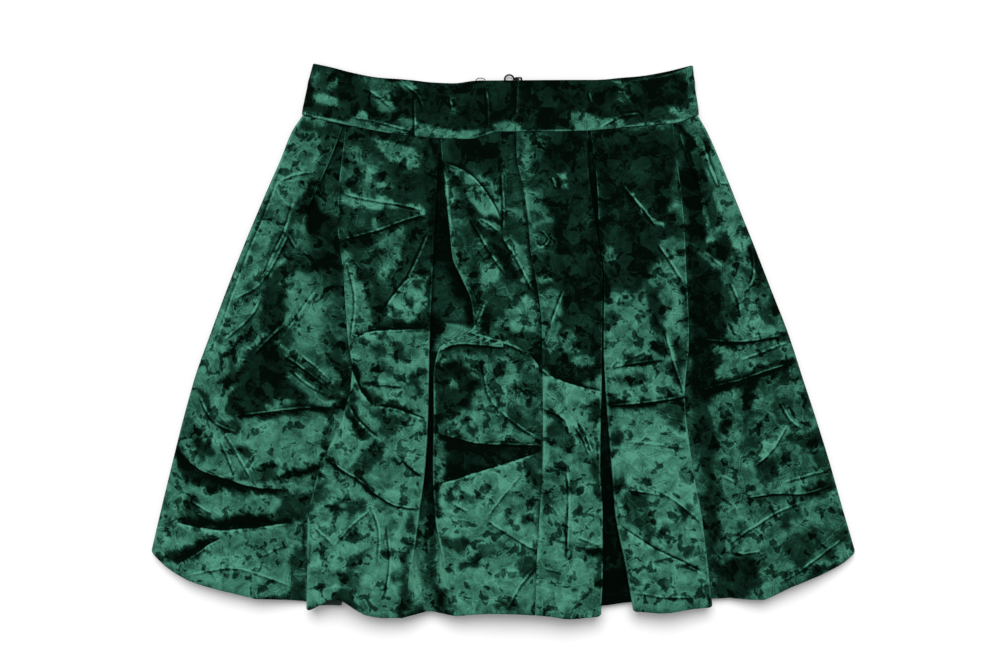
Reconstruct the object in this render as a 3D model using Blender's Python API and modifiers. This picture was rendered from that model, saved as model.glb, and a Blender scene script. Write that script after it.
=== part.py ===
"""Pleated skater skirt in crushed velvet, zipped up and laid flat with its back upwards.

The waist points to +Y and the hem to -Y. The skirt lies on z = 0. All sizes below are millimetres.

Each panel is lofted through sections. A section runs from side to side at one share of the way down
from the waist seam (down = 0) to the hem (down = 1). In it the cloth is a belt led round small pulleys,
one at each fold, so each fold has a real radius and the layers of a pleat lie clear of each other.
"""

import math
from collections import namedtuple

import bmesh
import bpy
import numpy as np

MM = 0.001

# The tables below measure from the photo's own middle. This moves the middle of the skirt's box to the origin.
MOVE_X = 1.25
MOVE_Y = -1.66

# Cloth
WALL = 1.2  # velvet of the skirt
BAND_WALL = 2.0  # two layers of velvet and their stiffening
SEAM_GAP = 0.3  # between two pieces that are sewn together
SEAM_STRAIGHT = 0.6  # the side folds run straight this far on each side of their seam
WAIST_GAP = 0.45  # at the waist seam, where both walls lean towards each other
WAIST_GAP_SIDE = 0.95  # the same at the side folds, which lean most
WAIST_GAP_REACH = 0.05  # share of the width over which the second becomes the first
PITCH = 1.7  # from one laid layer to the next, middle to middle

# Heights of the laid layers, middle of the wall
FLOOR_LAYER = WALL / 2 + 0.005
FRONT_BED_WAIST = FLOOR_LAYER + 2 * PITCH
FRONT_BED_HEM = FLOOR_LAYER + 4.0
BACK_BED_WAIST = FRONT_BED_WAIST + PITCH
BACK_BED_HEM = FRONT_BED_HEM + PITCH
BACK_FACE_WAIST = BACK_BED_WAIST + 2 * PITCH
BAND_FRONT_Z = BAND_WALL / 2 + 0.005
BAND_BACK_LOW_Z = 9.3  # the band stands a little proud of the pleats at its lower edge
BAND_BACK_TOP_Z = 4.8

# The lower layers' hem lies this much higher than the hem of the faces above them
HEM_LIFT = 9.0

# A curl in the hem of the left box, seen near its left edge
CURL_X = -142.0
CURL_HALF = 27.0
CURL_START = 0.92
CURL_BACK = 12.0
CURL_UP = 4.0

# Side outline of the skirt
OUTLINE_COLUMNS = ("down", "left", "right")
OUTLINE = (
    (0.00, -171.5, 163.8),
    (0.03, -179.1, 170.3),
    (0.10, -189.9, 181.9),
    (0.20, -206.1, 196.8),
    (0.30, -221.4, 211.7),
    (0.40, -235.7, 226.0),
    (0.50, -249.4, 240.3),
    (0.60, -262.5, 252.3),
    (0.70, -272.8, 264.4),
    (0.80, -282.0, 275.7),
    (0.90, -290.9, 286.2),
    (1.00, -299.4, 296.9),
)

# Waist seam, across from the left side (0) to the right side (1)
WAIST_COLUMNS = ("across", "y")
WAIST = (
    (0.00, 190.8),
    (0.11, 182.8),
    (0.26, 173.8),
    (0.35, 171.3),
    (0.42, 170.6),
    (0.50, 177.0),
    (0.60, 177.0),
    (0.72, 177.8),
    (0.83, 181.0),
    (0.94, 184.0),
    (1.00, 190.8),
)

# Hem of the layer that shows
HEM_COLUMNS = ("across", "y")
HEM = (
    (0.000, -183.0),
    (0.022, -194.0),
    (0.056, -202.5),
    (0.125, -213.5),
    (0.190, -222.5),
    (0.230, -227.5),
    (0.290, -228.5),
    (0.335, -232.5),
    (0.390, -232.5),
    (0.490, -228.5),
    (0.560, -230.5),
    (0.595, -233.0),
    (0.640, -231.0),
    (0.690, -227.5),
    (0.720, -228.3),
    (0.770, -225.0),
    (0.820, -223.5),
    (0.866, -218.5),
    (0.912, -206.0),
    (0.950, -197.5),
    (0.980, -191.5),
    (1.000, -183.5),
)

# Top edge of the waistband: the far (front) band and the near (back) band, across its own width
TOP_COLUMNS = ("across", "front_y", "back_y")
TOP = (
    (0.00, 235.9, 235.9),
    (0.05, 232.4, 232.4),
    (0.10, 228.2, 228.2),
    (0.17, 224.0, 224.0),
    (0.25, 222.7, 222.0),
    (0.31, 220.6, 217.0),
    (0.37, 219.8, 217.2),
    (0.43, 222.0, 221.4),
    (0.50, 222.0, 221.6),
    (0.70, 222.3, 222.0),
    (0.77, 223.1, 222.0),
    (0.81, 224.4, 218.9),
    (0.86, 225.7, 221.9),
    (0.93, 229.5, 226.0),
    (1.00, 235.0, 234.0),
)

# Waistband outline from its lower edge (0) to its top (1)
BAND_COLUMNS = ("up", "left", "right")
BAND = (
    (0.00, -171.5, 163.8),
    (0.25, -169.8, 162.9),
    (0.55, -167.0, 161.0),
    (1.00, -162.1, 159.2),
)

# Height of the back's faces: along the middle of the skirt and towards its sides
CROWN_COLUMNS = ("down", "middle", "side", "dome")
CROWN = (
    (0.00, BACK_FACE_WAIST, BACK_FACE_WAIST, 0.0),
    (0.10, 10.8, 10.2, 0.4),
    (0.25, 12.8, 11.2, 1.2),
    (0.45, 15.6, 11.9, 2.2),
    (0.70, 18.4, 12.4, 3.0),
    (0.85, 19.8, 12.7, 3.3),
    (1.00, 20.8, 12.9, 3.5),
)

# Radii of the folds: at the side, at a pleat's edge and at its inner fold
RADIUS_COLUMNS = ("down", "side", "edge", "inner", "front")
RADIUS = (
    (0.00, 2.5 * PITCH - SEAM_STRAIGHT, PITCH / 2, PITCH / 2, PITCH / 2),
    (0.10, 3.4, 1.15, 0.95, 0.87),
    (0.25, 3.3, 1.45, 1.15, 0.90),
    (0.50, 3.2, 2.10, 1.50, 0.94),
    (1.00, 3.2, 3.00, 2.00, 1.00),
)

# A fold that has opened grows rounder by this share of how far it has opened
OPEN_SOFT = 0.22

# The back's four inverted pleats, from left to right. The edges are the fold lines that show, the tucks
# are how far the inner folds reach in under the faces. A tuck below zero is a pleat that has opened into
# a valley. The bed is what lies between the two inner folds, and may rise off the layers below it.
PLEAT_COLUMNS = ("down", "left", "right", "left_tuck", "right_tuck", "bed_rise")
BACK_PLEATS = (
    (
        (0.00, -137.5, -134.0, 18, 26, 0.0),
        (0.06, -146.0, -137.0, 15, 26, 0.0),
        (0.13, -157.5, -140.0, 8, 26, 0.0),
        (0.20, -169.0, -141.0, -3, 26, 0.0),
        (0.30, -176.0, -136.0, -14, 26, 0.0),
        (0.42, -181.0, -132.5, -30, 26, 0.0),
        (0.50, -184.0, -128.5, -40, 26, 0.0),
        (0.60, -188.0, -137.0, -38, 26, 0.0),
        (0.70, -194.0, -155.0, -27, 26, 0.0),
        (0.82, -199.0, -165.5, -23, 27, 0.2),
        (1.00, -203.0, -166.5, -25, 28, 0.4),
    ),
    (
        (0.00, -56.7, -53.7, 26, 26, 0.0),
        (0.08, -57.8, -51.5, 26, 26, 0.0),
        (0.18, -60.0, -46.5, 26, 26, 0.0),
        (0.25, -61.0, -43.5, 26, 26, 0.0),
        (0.29, -61.7, -36.5, 26, 24, 0.0),
        (0.35, -62.7, -27.5, 26, 20, 0.0),
        (0.40, -63.5, -25.5, 26, 18, 0.0),
        (0.44, -64.0, -55.0, 26, 26, 0.0),
        (0.50, -64.5, -59.5, 26, 28, 0.0),
        (0.60, -65.3, -59.5, 26, 28, 0.2),
        (0.70, -68.0, -60.0, 24, 26, 0.6),
        (0.79, -72.5, -58.0, 16, 16, 1.6),
        (0.89, -77.5, -51.5, -4, -4, 3.4),
        (1.00, -81.5, -45.0, -12, -12, 5.2),
    ),
    (
        (0.00, 70.0, 73.2, 26, 26, 0.0),
        (0.05, 69.3, 75.6, 26, 26, 0.0),
        (0.10, 71.0, 78.3, 26, 26, 0.0),
        (0.15, 73.5, 79.4, 26, 26, 0.0),
        (0.20, 76.5, 79.9, 26, 26, 0.0),
        (0.24, 79.2, 81.4, 26, 26, 0.0),
        (0.30, 82.2, 84.4, 26, 26, 0.0),
        (0.45, 81.6, 83.9, 26, 26, 0.0),
        (0.53, 81.2, 85.3, 26, 26, 0.0),
        (0.60, 80.5, 87.2, 26, 26, 0.0),
        (0.70, 80.0, 90.5, 26, 25, 0.0),
        (0.80, 82.0, 93.5, 25, 24, 0.0),
        (0.90, 82.0, 101.5, 24, 22, 0.0),
        (1.00, 80.5, 108.6, 24, 20, 0.0),
    ),
    (
        (0.00, 142.0, 145.6, 26, 9, 0.0),
        (0.08, 145.6, 156.0, 26, 7, 0.0),
        (0.13, 148.3, 164.0, 26, 4, 0.0),
        (0.19, 150.6, 170.0, 26, -4, 0.0),
        (0.30, 153.0, 178.0, 26, -8, 0.0),
        (0.44, 155.2, 185.0, 26, -13, 0.0),
        (0.56, 151.6, 190.0, 26, -17, 0.0),
        (0.70, 157.5, 196.0, 25, -19, 0.0),
        (0.82, 166.0, 203.0, 24, -19, 0.2),
        (1.00, 174.5, 213.0, 22, -17, 0.4),
    ),
)

# The front's four inverted pleats: middle of the pleat, width of its mouth and its tuck each way
FRONT_COLUMNS = ("down", "middle", "mouth", "tuck")
FRONT_PLEATS = (
    ((0.00, -118.0, 3.0, 24), (0.50, -158.0, 7.0, 25), (1.00, -186.0, 15.0, 26)),
    ((0.00, -41.0, 3.0, 24), (0.50, -56.0, 5.5, 25), (1.00, -67.0, 12.0, 26)),
    ((0.00, 37.0, 3.0, 24), (0.50, 50.0, 6.5, 25), (1.00, 61.0, 14.0, 26)),
    ((0.00, 113.0, 3.0, 24), (0.50, 152.0, 6.0, 25), (1.00, 181.0, 13.0, 26)),
)

# Centre back seam, in the skirt and in the band
SEAM_COLUMNS = ("down", "x")
SEAM = (
    (0.00, 9.5),
    (0.05, 10.0),
    (0.10, 14.0),
    (0.16, 18.5),
    (0.26, 22.5),
    (0.33, 28.0),
    (0.40, 31.0),
    (0.60, 32.0),
    (0.70, 31.5),
    (0.80, 29.0),
    (0.90, 26.5),
    (1.00, 25.5),
)
BAND_SEAM_LOW = 9.5
BAND_SEAM_TOP = 10.8

# Rows of each loft
BACK_ROWS = (0.0, 0.05, 0.10, 0.145, 0.19, 0.25, 0.32, 0.40, 0.45, 0.54, 0.63, 0.72, 0.80, 0.88, 0.95, 1.0)
FRONT_ROWS = (0.0, 0.12, 0.28, 0.45, 0.62, 0.80, 1.0)
BAND_ROWS = (0.0, 0.3, 0.65, 1.0)

# Concealed zip, under the centre back seam
ZIP_WIDTH = 24.0
ZIP_WALL = 0.8
ZIP_TOP = 0.80  # how far up the band it reaches
ZIP_END = 0.36  # how far down the skirt it reaches
ZIP_ROWS_BAND = 3
ZIP_ROWS_SKIRT = 9

# Fastenings at the band's top edge: bent wire and thread
EYE_MIDDLE = 3.85
EYE_WIDTH = 7.2
EYE_RISE = 5.0
EYE_WIRE = 0.5
HOOK_LEFT = 8.9
HOOK_RIGHT = 14.2
HOOK_BEND = 0.6
HOOK_RISE = 2.1
HOOK_WIRE = 0.5
LOOP_MIDDLE = -20.6
LOOP_WIDTH = 7.6
LOOP_RISE = 2.8
LOOP_WIRE = 0.4
FOOT_DEPTH = 6.0  # how far these reach down behind the band
FOOT_Z = 3.0

# Colours, linear
VELVET = (0.012, 0.105, 0.068, 1.0)
ZIP_GREEN = (0.008, 0.060, 0.040, 1.0)
STEEL_BLACK = (0.030, 0.032, 0.034, 1.0)
THREAD_GREEN = (0.006, 0.040, 0.028, 1.0)

Pulley = namedtuple("Pulley", "x z radius turn steps run dome")
OVER = -1  # the cloth passes over the pulley
UNDER = 1


def smooth_curve(stations, values):
    """A function through the given points that never overshoots between two of them."""
    x = np.asarray(stations, float)
    y = np.asarray(values, float)
    step = np.diff(x)
    rise = np.diff(y) / step
    slope = np.zeros_like(y)
    slope[0] = rise[0]
    slope[-1] = rise[-1]
    for i in range(1, len(x) - 1):
        before, after = rise[i - 1], rise[i]
        if before * after > 0:
            one = 2 * step[i] + step[i - 1]
            two = step[i] + 2 * step[i - 1]
            slope[i] = (one + two) / (one / before + two / after)

    def at(value):
        value = np.clip(value, x[0], x[-1])
        i = np.clip(np.searchsorted(x, value, side="right") - 1, 0, len(x) - 2)
        width = step[i]
        t = (value - x[i]) / width
        t2 = t * t
        t3 = t2 * t
        start = (2 * t3 - 3 * t2 + 1) * y[i] + (t3 - 2 * t2 + t) * width * slope[i]
        end = (3 * t2 - 2 * t3) * y[i + 1] + (t3 - t2) * width * slope[i + 1]
        return start + end

    return at


def table(columns, rows):
    """Each named column of a table as a smooth function of its first column."""
    stations = [row[0] for row in rows]
    return {
        name: smooth_curve(stations, [row[i] for row in rows])
        for i, name in enumerate(columns)
        if i > 0
    }


outline = table(OUTLINE_COLUMNS, OUTLINE)
waist = table(WAIST_COLUMNS, WAIST)
hem = table(HEM_COLUMNS, HEM)
top = table(TOP_COLUMNS, TOP)
band = table(BAND_COLUMNS, BAND)
crown = table(CROWN_COLUMNS, CROWN)
radius = table(RADIUS_COLUMNS, RADIUS)
seam = table(SEAM_COLUMNS, SEAM)
back_pleats = [table(PLEAT_COLUMNS, rows) for rows in BACK_PLEATS]
front_pleats = [table(FRONT_COLUMNS, rows) for rows in FRONT_PLEATS]


def mix(a, b, t):
    return a + (b - a) * t


def smoothstep(t):
    t = min(max(t, 0.0), 1.0)
    return t * t * (3 - 2 * t)


# ---------------------------------------------------------------- the cloth's way round its folds


def heading(a, b):
    """Direction of the straight cloth between two pulleys."""
    dx = b.x - a.x
    dz = b.z - a.z
    lean = (b.turn * b.radius - a.turn * a.radius) / math.hypot(dx, dz)
    return math.atan2(dz, dx) - math.asin(max(-1.0, min(1.0, lean)))


def on_pulley(p, angle):
    """Point where the cloth on a pulley heads in the given direction."""
    return (p.x + p.turn * p.radius * math.sin(angle), p.z - p.turn * p.radius * math.cos(angle))


def sweep_between(p, start, end):
    """Angle turned on a pulley, in its own sense."""
    turned = (end - start) * p.turn
    turned = (turned + 1.0) % (2 * math.pi) - 1.0
    return turned * p.turn


def belt(pulleys):
    """Points of the cloth, from pulley to pulley. A pulley of no radius is an end or a seam."""
    headings = [heading(a, b) for a, b in zip(pulleys, pulleys[1:])]
    arrive = headings[:1] + headings
    leave = headings + headings[-1:]
    points = []
    for i, p in enumerate(pulleys):
        sweep = sweep_between(p, arrive[i], leave[i])
        count = p.steps if p.radius > 0 else 0
        for k in range(count + 1):
            share = k / count if count else 0.0
            points.append(on_pulley(p, arrive[i] + sweep * share))
        if i == len(pulleys) - 1:
            break
        x0, z0 = points[-1]
        x1, z1 = on_pulley(pulleys[i + 1], leave[i])
        for k in range(1, p.run + 1):
            t = k / (p.run + 1)
            rise = p.dome * math.sin(math.pi * t) ** 2
            points.append((mix(x0, x1, t), mix(z0, z1, t) + rise))
    return points


# ------------------------------------------------------------------------------ sections


def face_height(x, down):
    """Middle of the wall of the back's faces."""
    left, right = outline["left"](down), outline["right"](down)
    across = min(max((x - left) / (right - left), 0.0), 1.0)
    return mix(crown["side"](down), crown["middle"](down), math.sin(math.pi * across))


def back_pleat(pleat, down, dome):
    """The four folds of one inverted pleat of the back, from left to right."""
    left, right = pleat["left"](down), pleat["right"](down)
    left_tuck, right_tuck = pleat["left_tuck"](down), pleat["right_tuck"](down)
    bed = mix(BACK_BED_WAIST, BACK_BED_HEM, down) + pleat["bed_rise"](down)
    edge, inner = radius["edge"](down), radius["inner"](down)
    left_soft, right_soft = OPEN_SOFT * max(0.0, -left_tuck), OPEN_SOFT * max(0.0, -right_tuck)
    a, b, c, d = edge + left_soft, inner + left_soft, inner + right_soft, edge + right_soft
    return [
        Pulley(left - a, face_height(left, down) - a, a, OVER, 4, 1, 0.0),
        Pulley(left - left_tuck + b, bed + b, b, UNDER, 3, 1, 0.0),
        Pulley(right + right_tuck - c, bed + c, c, UNDER, 3, 1, 0.0),
        Pulley(right + d, face_height(right, down) - d, d, OVER, 4, 4, dome),
    ]


def front_pleat(pleat, down):
    """The four folds of one inverted pleat of the front, whose faces lie on the floor."""
    middle, half = pleat["middle"](down), pleat["mouth"](down) / 2
    r = radius["front"](down)
    bed = mix(FRONT_BED_WAIST, FRONT_BED_HEM, down)
    inner = pleat["tuck"](down) + half - r
    return [
        Pulley(middle - half - r, FLOOR_LAYER + r, r, UNDER, 4, 1, 0.0),
        Pulley(middle - inner, bed - r, r, OVER, 3, 1, 0.0),
        Pulley(middle + inner, bed - r, r, OVER, 3, 1, 0.0),
        Pulley(middle + half + r, FLOOR_LAYER + r, r, UNDER, 4, 5, 0.0),
    ]


def side_fold(x, low, r, side, turn, run, dome):
    """Half of the fold at one side, from its seam round to the back (OVER) or the front (UNDER)."""
    inward = 1 if side == "left" else -1
    seam_z = low + r + SEAM_STRAIGHT
    up = 1 if turn == OVER else -1
    edge = Pulley(x, seam_z + up * SEAM_GAP / 2, 0.0, turn, 0, 0, 0.0)
    fold = Pulley(x + inward * r, seam_z + up * SEAM_STRAIGHT, r, turn, 3, run, dome)
    return [edge, fold] if side == "left" else [fold, edge]


def skirt_side(down, side, turn, run, dome):
    return side_fold(outline[side](down), FLOOR_LAYER, radius["side"](down), side, turn, run, dome)


def band_side(up, side, turn, run):
    height = mix(BAND_BACK_LOW_Z, BAND_BACK_TOP_Z, up) - BAND_FRONT_Z
    return side_fold(band[side](up), BAND_FRONT_Z, height / 2 - SEAM_STRAIGHT, side, turn, run, 0.0)


def seam_end(down, side):
    """Where a back half ends at the centre back seam."""
    x = seam["x"](down) + side * SEAM_GAP / 2
    return Pulley(x, face_height(x, down) + 0.6 * crown["dome"](down), 0.0, OVER, 0, 3, 0.0)


def back_left_section(down):
    dome = crown["dome"](down)
    folds = back_pleat(back_pleats[0], down, dome) + back_pleat(back_pleats[1], down, 0.4 * dome)
    return belt(skirt_side(down, "left", OVER, 4, dome) + folds + [seam_end(down, -1)])


def back_right_section(down):
    dome = crown["dome"](down)
    folds = back_pleat(back_pleats[2], down, dome) + back_pleat(back_pleats[3], down, dome)
    first = seam_end(down, 1)._replace(dome=0.4 * dome)
    return belt([first] + folds + skirt_side(down, "right", OVER, 0, 0.0))


def front_section(down):
    folds = [fold for pleat in front_pleats for fold in front_pleat(pleat, down)]
    left, right = skirt_side(down, "left", UNDER, 4, 0.0), skirt_side(down, "right", UNDER, 0, 0.0)
    return belt(left + folds + right)


def band_seam_end(up, side):
    x = mix(BAND_SEAM_LOW, BAND_SEAM_TOP, up) + side * SEAM_GAP / 2
    return Pulley(x, mix(BAND_BACK_LOW_Z, BAND_BACK_TOP_Z, up), 0.0, OVER, 0, 17, 0.0)


def band_left_section(up):
    return belt(band_side(up, "left", OVER, 17) + [band_seam_end(up, -1)])


def band_right_section(up):
    return belt([band_seam_end(up, 1)] + band_side(up, "right", OVER, 0))


def band_front_section(up):
    return belt(band_side(up, "left", UNDER, 35) + band_side(up, "right", UNDER, 0))


# --------------------------------------------------------------- from a section to the laid skirt


def place_skirt(x, z, down):
    """A section's point in the laid skirt: the row bends with the waist seam and the hem."""
    left, right = outline["left"](down), outline["right"](down)
    across = (x - left) / (right - left)
    high = min(max(z / face_height(x, down), 0.0), 1.0)
    y = mix(waist["y"](across), hem["y"](across), down)
    y += HEM_LIFT * down * (1 - high)
    near = max(0.0, 1 - abs((x - CURL_X) / CURL_HALF))
    curl = smoothstep(near) * smoothstep((down - CURL_START) / (1 - CURL_START)) * smoothstep(2 * high - 1)
    return (x, y + CURL_BACK * curl, z + CURL_UP * curl)


def place_band(x, z, up):
    """A section's point in the band, from its lower edge at the waist seam to its top edge."""
    left, right = band["left"](up), band["right"](up)
    across = (x - left) / (right - left)
    back = mix(BAND_BACK_LOW_Z, BAND_BACK_TOP_Z, up)
    high = min(max((z - BAND_FRONT_Z) / (back - BAND_FRONT_Z), 0.0), 1.0)
    edge = mix(top["front_y"](across), top["back_y"](across), high)
    inward = min(across, 1 - across) / WAIST_GAP_REACH
    gap = mix(WAIST_GAP_SIDE, WAIST_GAP, smoothstep(inward))
    return (x, mix(waist["y"](across) + gap, edge, up), z)


# ------------------------------------------------------------------------------ solids


def new_material(name, colour, roughness, metallic=0.0, sheen=0.0):
    material = bpy.data.materials.new(name)
    material.use_nodes = True
    shader = material.node_tree.nodes["Principled BSDF"]
    shader.inputs["Base Color"].default_value = colour
    shader.inputs["Roughness"].default_value = roughness
    shader.inputs["Metallic"].default_value = metallic
    shader.inputs["Sheen Weight"].default_value = sheen
    material.diffuse_color = colour
    return material


def world(point):
    """A point in metres, moved into the part's frame."""
    x, y, z = point
    return [(x + MOVE_X) * MM, (y + MOVE_Y) * MM, z * MM]


def add_object(name, data, material, collection):
    data.materials.append(material)
    obj = bpy.data.objects.new(name, data)
    collection.objects.link(obj)
    return obj


def loft(name, rows, wall, material, collection):
    """A shell of even wall through rows of points, each row with the same number of them."""
    across = len(rows[0]) - 1
    along = len(rows) - 1
    mesh = bpy.data.meshes.new(name)
    grid = bmesh.new()
    bmesh.ops.create_grid(grid, x_segments=across, y_segments=along, size=1.0)
    for vertex in grid.verts:
        i = round((vertex.co.x + 1) / 2 * across)
        j = round((vertex.co.y + 1) / 2 * along)
        vertex.co = world(rows[j][i])
    grid.to_mesh(mesh)
    grid.free()
    mesh.shade_smooth()
    obj = add_object(name, mesh, material, collection)
    shell = obj.modifiers.new("Wall", "SOLIDIFY")
    shell.thickness = wall * MM
    shell.offset = 0.0
    shell.use_even_offset = True
    shell.use_rim = True
    return obj


def skirt_rows(section, stations):
    return [[place_skirt(x, z, down) for x, z in section(down)] for down in stations]


def band_rows(section):
    return [[place_band(x, z, up) for x, z in section(up)] for up in BAND_ROWS]


def under_face(section_left, section_right, x):
    """Height of the back at x, near the centre back seam, from the two sections that meet there."""
    points = section_left[-4:] + section_right[:4]
    return float(np.interp(x, [p[0] for p in points], [p[1] for p in points]))


def zip_rows():
    """Rows of the zip, from its top behind the band to its end behind the skirt."""
    offsets = [ZIP_WIDTH * share for share in (-0.5, -0.25, 0.0, 0.25, 0.5)]
    rows = []
    for k in range(ZIP_ROWS_BAND):
        up = ZIP_TOP * (1 - k / (ZIP_ROWS_BAND - 1))
        middle = mix(BAND_SEAM_LOW, BAND_SEAM_TOP, up)
        sides = band_left_section(up), band_right_section(up)
        drop = BAND_WALL / 2 + SEAM_GAP + ZIP_WALL / 2
        low = [under_face(*sides, middle + offset) - drop for offset in offsets]
        rows.append([place_band(middle + offset, z, up) for offset, z in zip(offsets, low)])
    clear = WALL / 2 + SEAM_GAP + ZIP_WALL / 2
    for k in range(1, ZIP_ROWS_SKIRT):
        down = ZIP_END * k / (ZIP_ROWS_SKIRT - 1)
        middle = seam["x"](down)
        sides = back_left_section(down), back_right_section(down)
        low = [under_face(*sides, middle + offset) - clear for offset in offsets]
        rows.append([place_skirt(middle + offset, z, down) for offset, z in zip(offsets, low)])
    return rows[::-1]


def wire(name, points, radius_mm, material, collection):
    """A bent wire or thread through the given points, with closed ends."""
    data = bpy.data.curves.new(name, "CURVE")
    data.dimensions = "3D"
    data.bevel_depth = radius_mm * MM
    data.bevel_resolution = 2
    data.use_fill_caps = True
    spline = data.splines.new("POLY")
    spline.points.add(len(points) - 1)
    for point, place in zip(spline.points, points):
        point.co = world(place) + [1.0]
    return add_object(name, data, material, collection)


def band_top_y(x):
    left, right = band["left"](1.0), band["right"](1.0)
    return float(top["back_y"]((x - left) / (right - left)))


def arch(middle, width, rise, squeeze):
    """An arch that stands out past the band's top edge, its two feet behind the band."""
    edge = band_top_y(middle)
    half = width / 2
    points = [(middle - half * squeeze, edge - FOOT_DEPTH, FOOT_Z)]
    points.append((middle - half * squeeze, edge - 1.0, FOOT_Z))
    for k in range(9):
        angle = math.pi * (1 - k / 8)
        points.append((middle + half * math.cos(angle), edge + rise * (0.25 + 0.75 * math.sin(angle)), FOOT_Z))
    points.append((middle + half * squeeze, edge - 1.0, FOOT_Z))
    points.append((middle + half * squeeze, edge - FOOT_DEPTH, FOOT_Z))
    return points


def hook_points():
    """A flat hook: up from behind the band, along to the left, and back on itself."""
    edge = band_top_y(HOOK_RIGHT)
    far = edge + HOOK_RISE
    points = [(HOOK_RIGHT, edge - FOOT_DEPTH, FOOT_Z), (HOOK_RIGHT, far - HOOK_BEND, FOOT_Z)]
    points.append((HOOK_RIGHT - HOOK_BEND * 0.4, far - HOOK_BEND * 0.2, FOOT_Z))
    points.append((HOOK_RIGHT - HOOK_BEND - 0.2, far, FOOT_Z))
    for k in range(5):
        angle = math.pi * (0.5 + k / 4)
        points.append(
            (
                HOOK_LEFT + HOOK_BEND * (1 + math.cos(angle)),
                far - HOOK_BEND + HOOK_BEND * math.sin(angle),
                FOOT_Z,
            )
        )
    points.append((HOOK_RIGHT - 2.6, far - 2 * HOOK_BEND, FOOT_Z))
    return points


def build():
    for obj in list(bpy.data.objects):
        bpy.data.objects.remove(obj, do_unlink=True)
    skirt = bpy.data.collections.new("Skater_Skirt")
    bpy.context.scene.collection.children.link(skirt)

    velvet = new_material("Crushed_Velvet", VELVET, 0.55, sheen=0.6)
    tape = new_material("Zip_Tape", ZIP_GREEN, 0.8)
    steel = new_material("Blackened_Steel", STEEL_BLACK, 0.35, metallic=1.0)
    thread = new_material("Polyester_Thread", THREAD_GREEN, 0.6)

    loft("skirt_front", skirt_rows(front_section, FRONT_ROWS), WALL, velvet, skirt)
    loft("skirt_back_left", skirt_rows(back_left_section, BACK_ROWS), WALL, velvet, skirt)
    loft("skirt_back_right", skirt_rows(back_right_section, BACK_ROWS), WALL, velvet, skirt)
    loft("waistband_front", band_rows(band_front_section), BAND_WALL, velvet, skirt)
    loft("waistband_back_left", band_rows(band_left_section), BAND_WALL, velvet, skirt)
    loft("waistband_back_right", band_rows(band_right_section), BAND_WALL, velvet, skirt)
    loft("zip", zip_rows(), ZIP_WALL, tape, skirt)

    wire("eye", arch(EYE_MIDDLE, EYE_WIDTH, EYE_RISE - EYE_WIRE, 0.8), EYE_WIRE, steel, skirt)
    wire("hook", hook_points(), HOOK_WIRE, steel, skirt)
    wire("hanger_loop", arch(LOOP_MIDDLE, LOOP_WIDTH, LOOP_RISE - LOOP_WIRE, 1.0), LOOP_WIRE, thread, skirt)


build()
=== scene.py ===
"""Pleated skater skirt in crushed velvet, laid flat with its back upwards, finished for rendering.

Waist to +Y, hem to -Y, the surface it lies on is z = 0. The tables and sections are those of the solid
model, in millimetres from the photo's middle, and OFFSET moves them into the frame. Each piece of cloth
is a thin shell through fine sections. Its creases and the patches of its nap are listed one by one. The nap
also holds painted light: painted sheen in its patches, painted shade below the creases, deep in the pleats and
at the hem, and painted highlights where the cloth bends and along the creases.
"""

import logging
import math
from dataclasses import dataclass
from enum import Enum
from typing import Callable, Iterable, NamedTuple, Sequence, Union

import bpy
import numpy as np
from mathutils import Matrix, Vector, noise

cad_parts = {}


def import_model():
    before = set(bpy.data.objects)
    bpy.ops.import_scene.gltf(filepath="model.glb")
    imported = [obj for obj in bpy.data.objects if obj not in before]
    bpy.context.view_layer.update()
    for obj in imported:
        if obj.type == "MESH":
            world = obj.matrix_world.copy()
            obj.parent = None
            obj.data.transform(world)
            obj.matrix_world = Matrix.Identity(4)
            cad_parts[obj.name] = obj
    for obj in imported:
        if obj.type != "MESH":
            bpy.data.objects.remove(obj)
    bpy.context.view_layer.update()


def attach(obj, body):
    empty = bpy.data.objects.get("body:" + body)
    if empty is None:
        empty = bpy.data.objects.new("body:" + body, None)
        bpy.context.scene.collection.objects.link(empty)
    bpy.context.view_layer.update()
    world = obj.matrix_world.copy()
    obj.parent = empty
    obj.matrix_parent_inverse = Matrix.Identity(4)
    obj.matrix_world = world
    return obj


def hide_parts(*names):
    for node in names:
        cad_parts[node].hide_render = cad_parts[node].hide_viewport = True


LOG = logging.getLogger("skater_skirt")

MM = 0.001
OFFSET = (1.25, -1.66, 0.0)
UP = (0.0, 0.0, 1.0)

Array = np.ndarray
Number = Union[float, Array]
Curve = Callable[[Number], Number]
Row = tuple[float, ...]
Point = tuple[float, float]
Section = Callable[[float], list[Point]]

# ---------------------------------------------------------------------------- the cut, as in the solid

# Cloth
WALL = 1.2  # velvet of the skirt
BAND_WALL = 2.0  # two layers of velvet and their stiffening
SEAM_GAP = 0.3  # between two pieces that are sewn together
SEAM_STRAIGHT = 0.6  # the side folds run straight this far on each side of their seam
WAIST_GAP = 0.45  # at the waist seam, where both walls lean towards each other
WAIST_GAP_SIDE = 0.95  # the same at the side folds, which lean most
WAIST_GAP_REACH = 0.05  # share of the width over which the second becomes the first
PITCH = 1.7  # from one laid layer to the next, middle to middle

# Heights of the laid layers, middle of the wall
FLOOR_LAYER = WALL / 2 + 0.005
FRONT_BED_WAIST = FLOOR_LAYER + 2 * PITCH
FRONT_BED_HEM = FLOOR_LAYER + 4.0
BACK_BED_WAIST = FRONT_BED_WAIST + PITCH
BACK_BED_HEM = FRONT_BED_HEM + PITCH
BACK_FACE_WAIST = BACK_BED_WAIST + 2 * PITCH
BAND_FRONT_Z = BAND_WALL / 2 + 0.005
BAND_BACK_LOW_Z = 9.3  # the band stands a little proud of the pleats at its lower edge
BAND_BACK_TOP_Z = 4.8

# The lower layers' hem lies this much higher than the hem of the faces above them
HEM_LIFT = 9.0

# A curl in the hem of the left box, seen near its left edge
CURL_X = -142.0
CURL_HALF = 27.0
CURL_START = 0.92
CURL_BACK = 12.0
CURL_UP = 4.0


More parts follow.
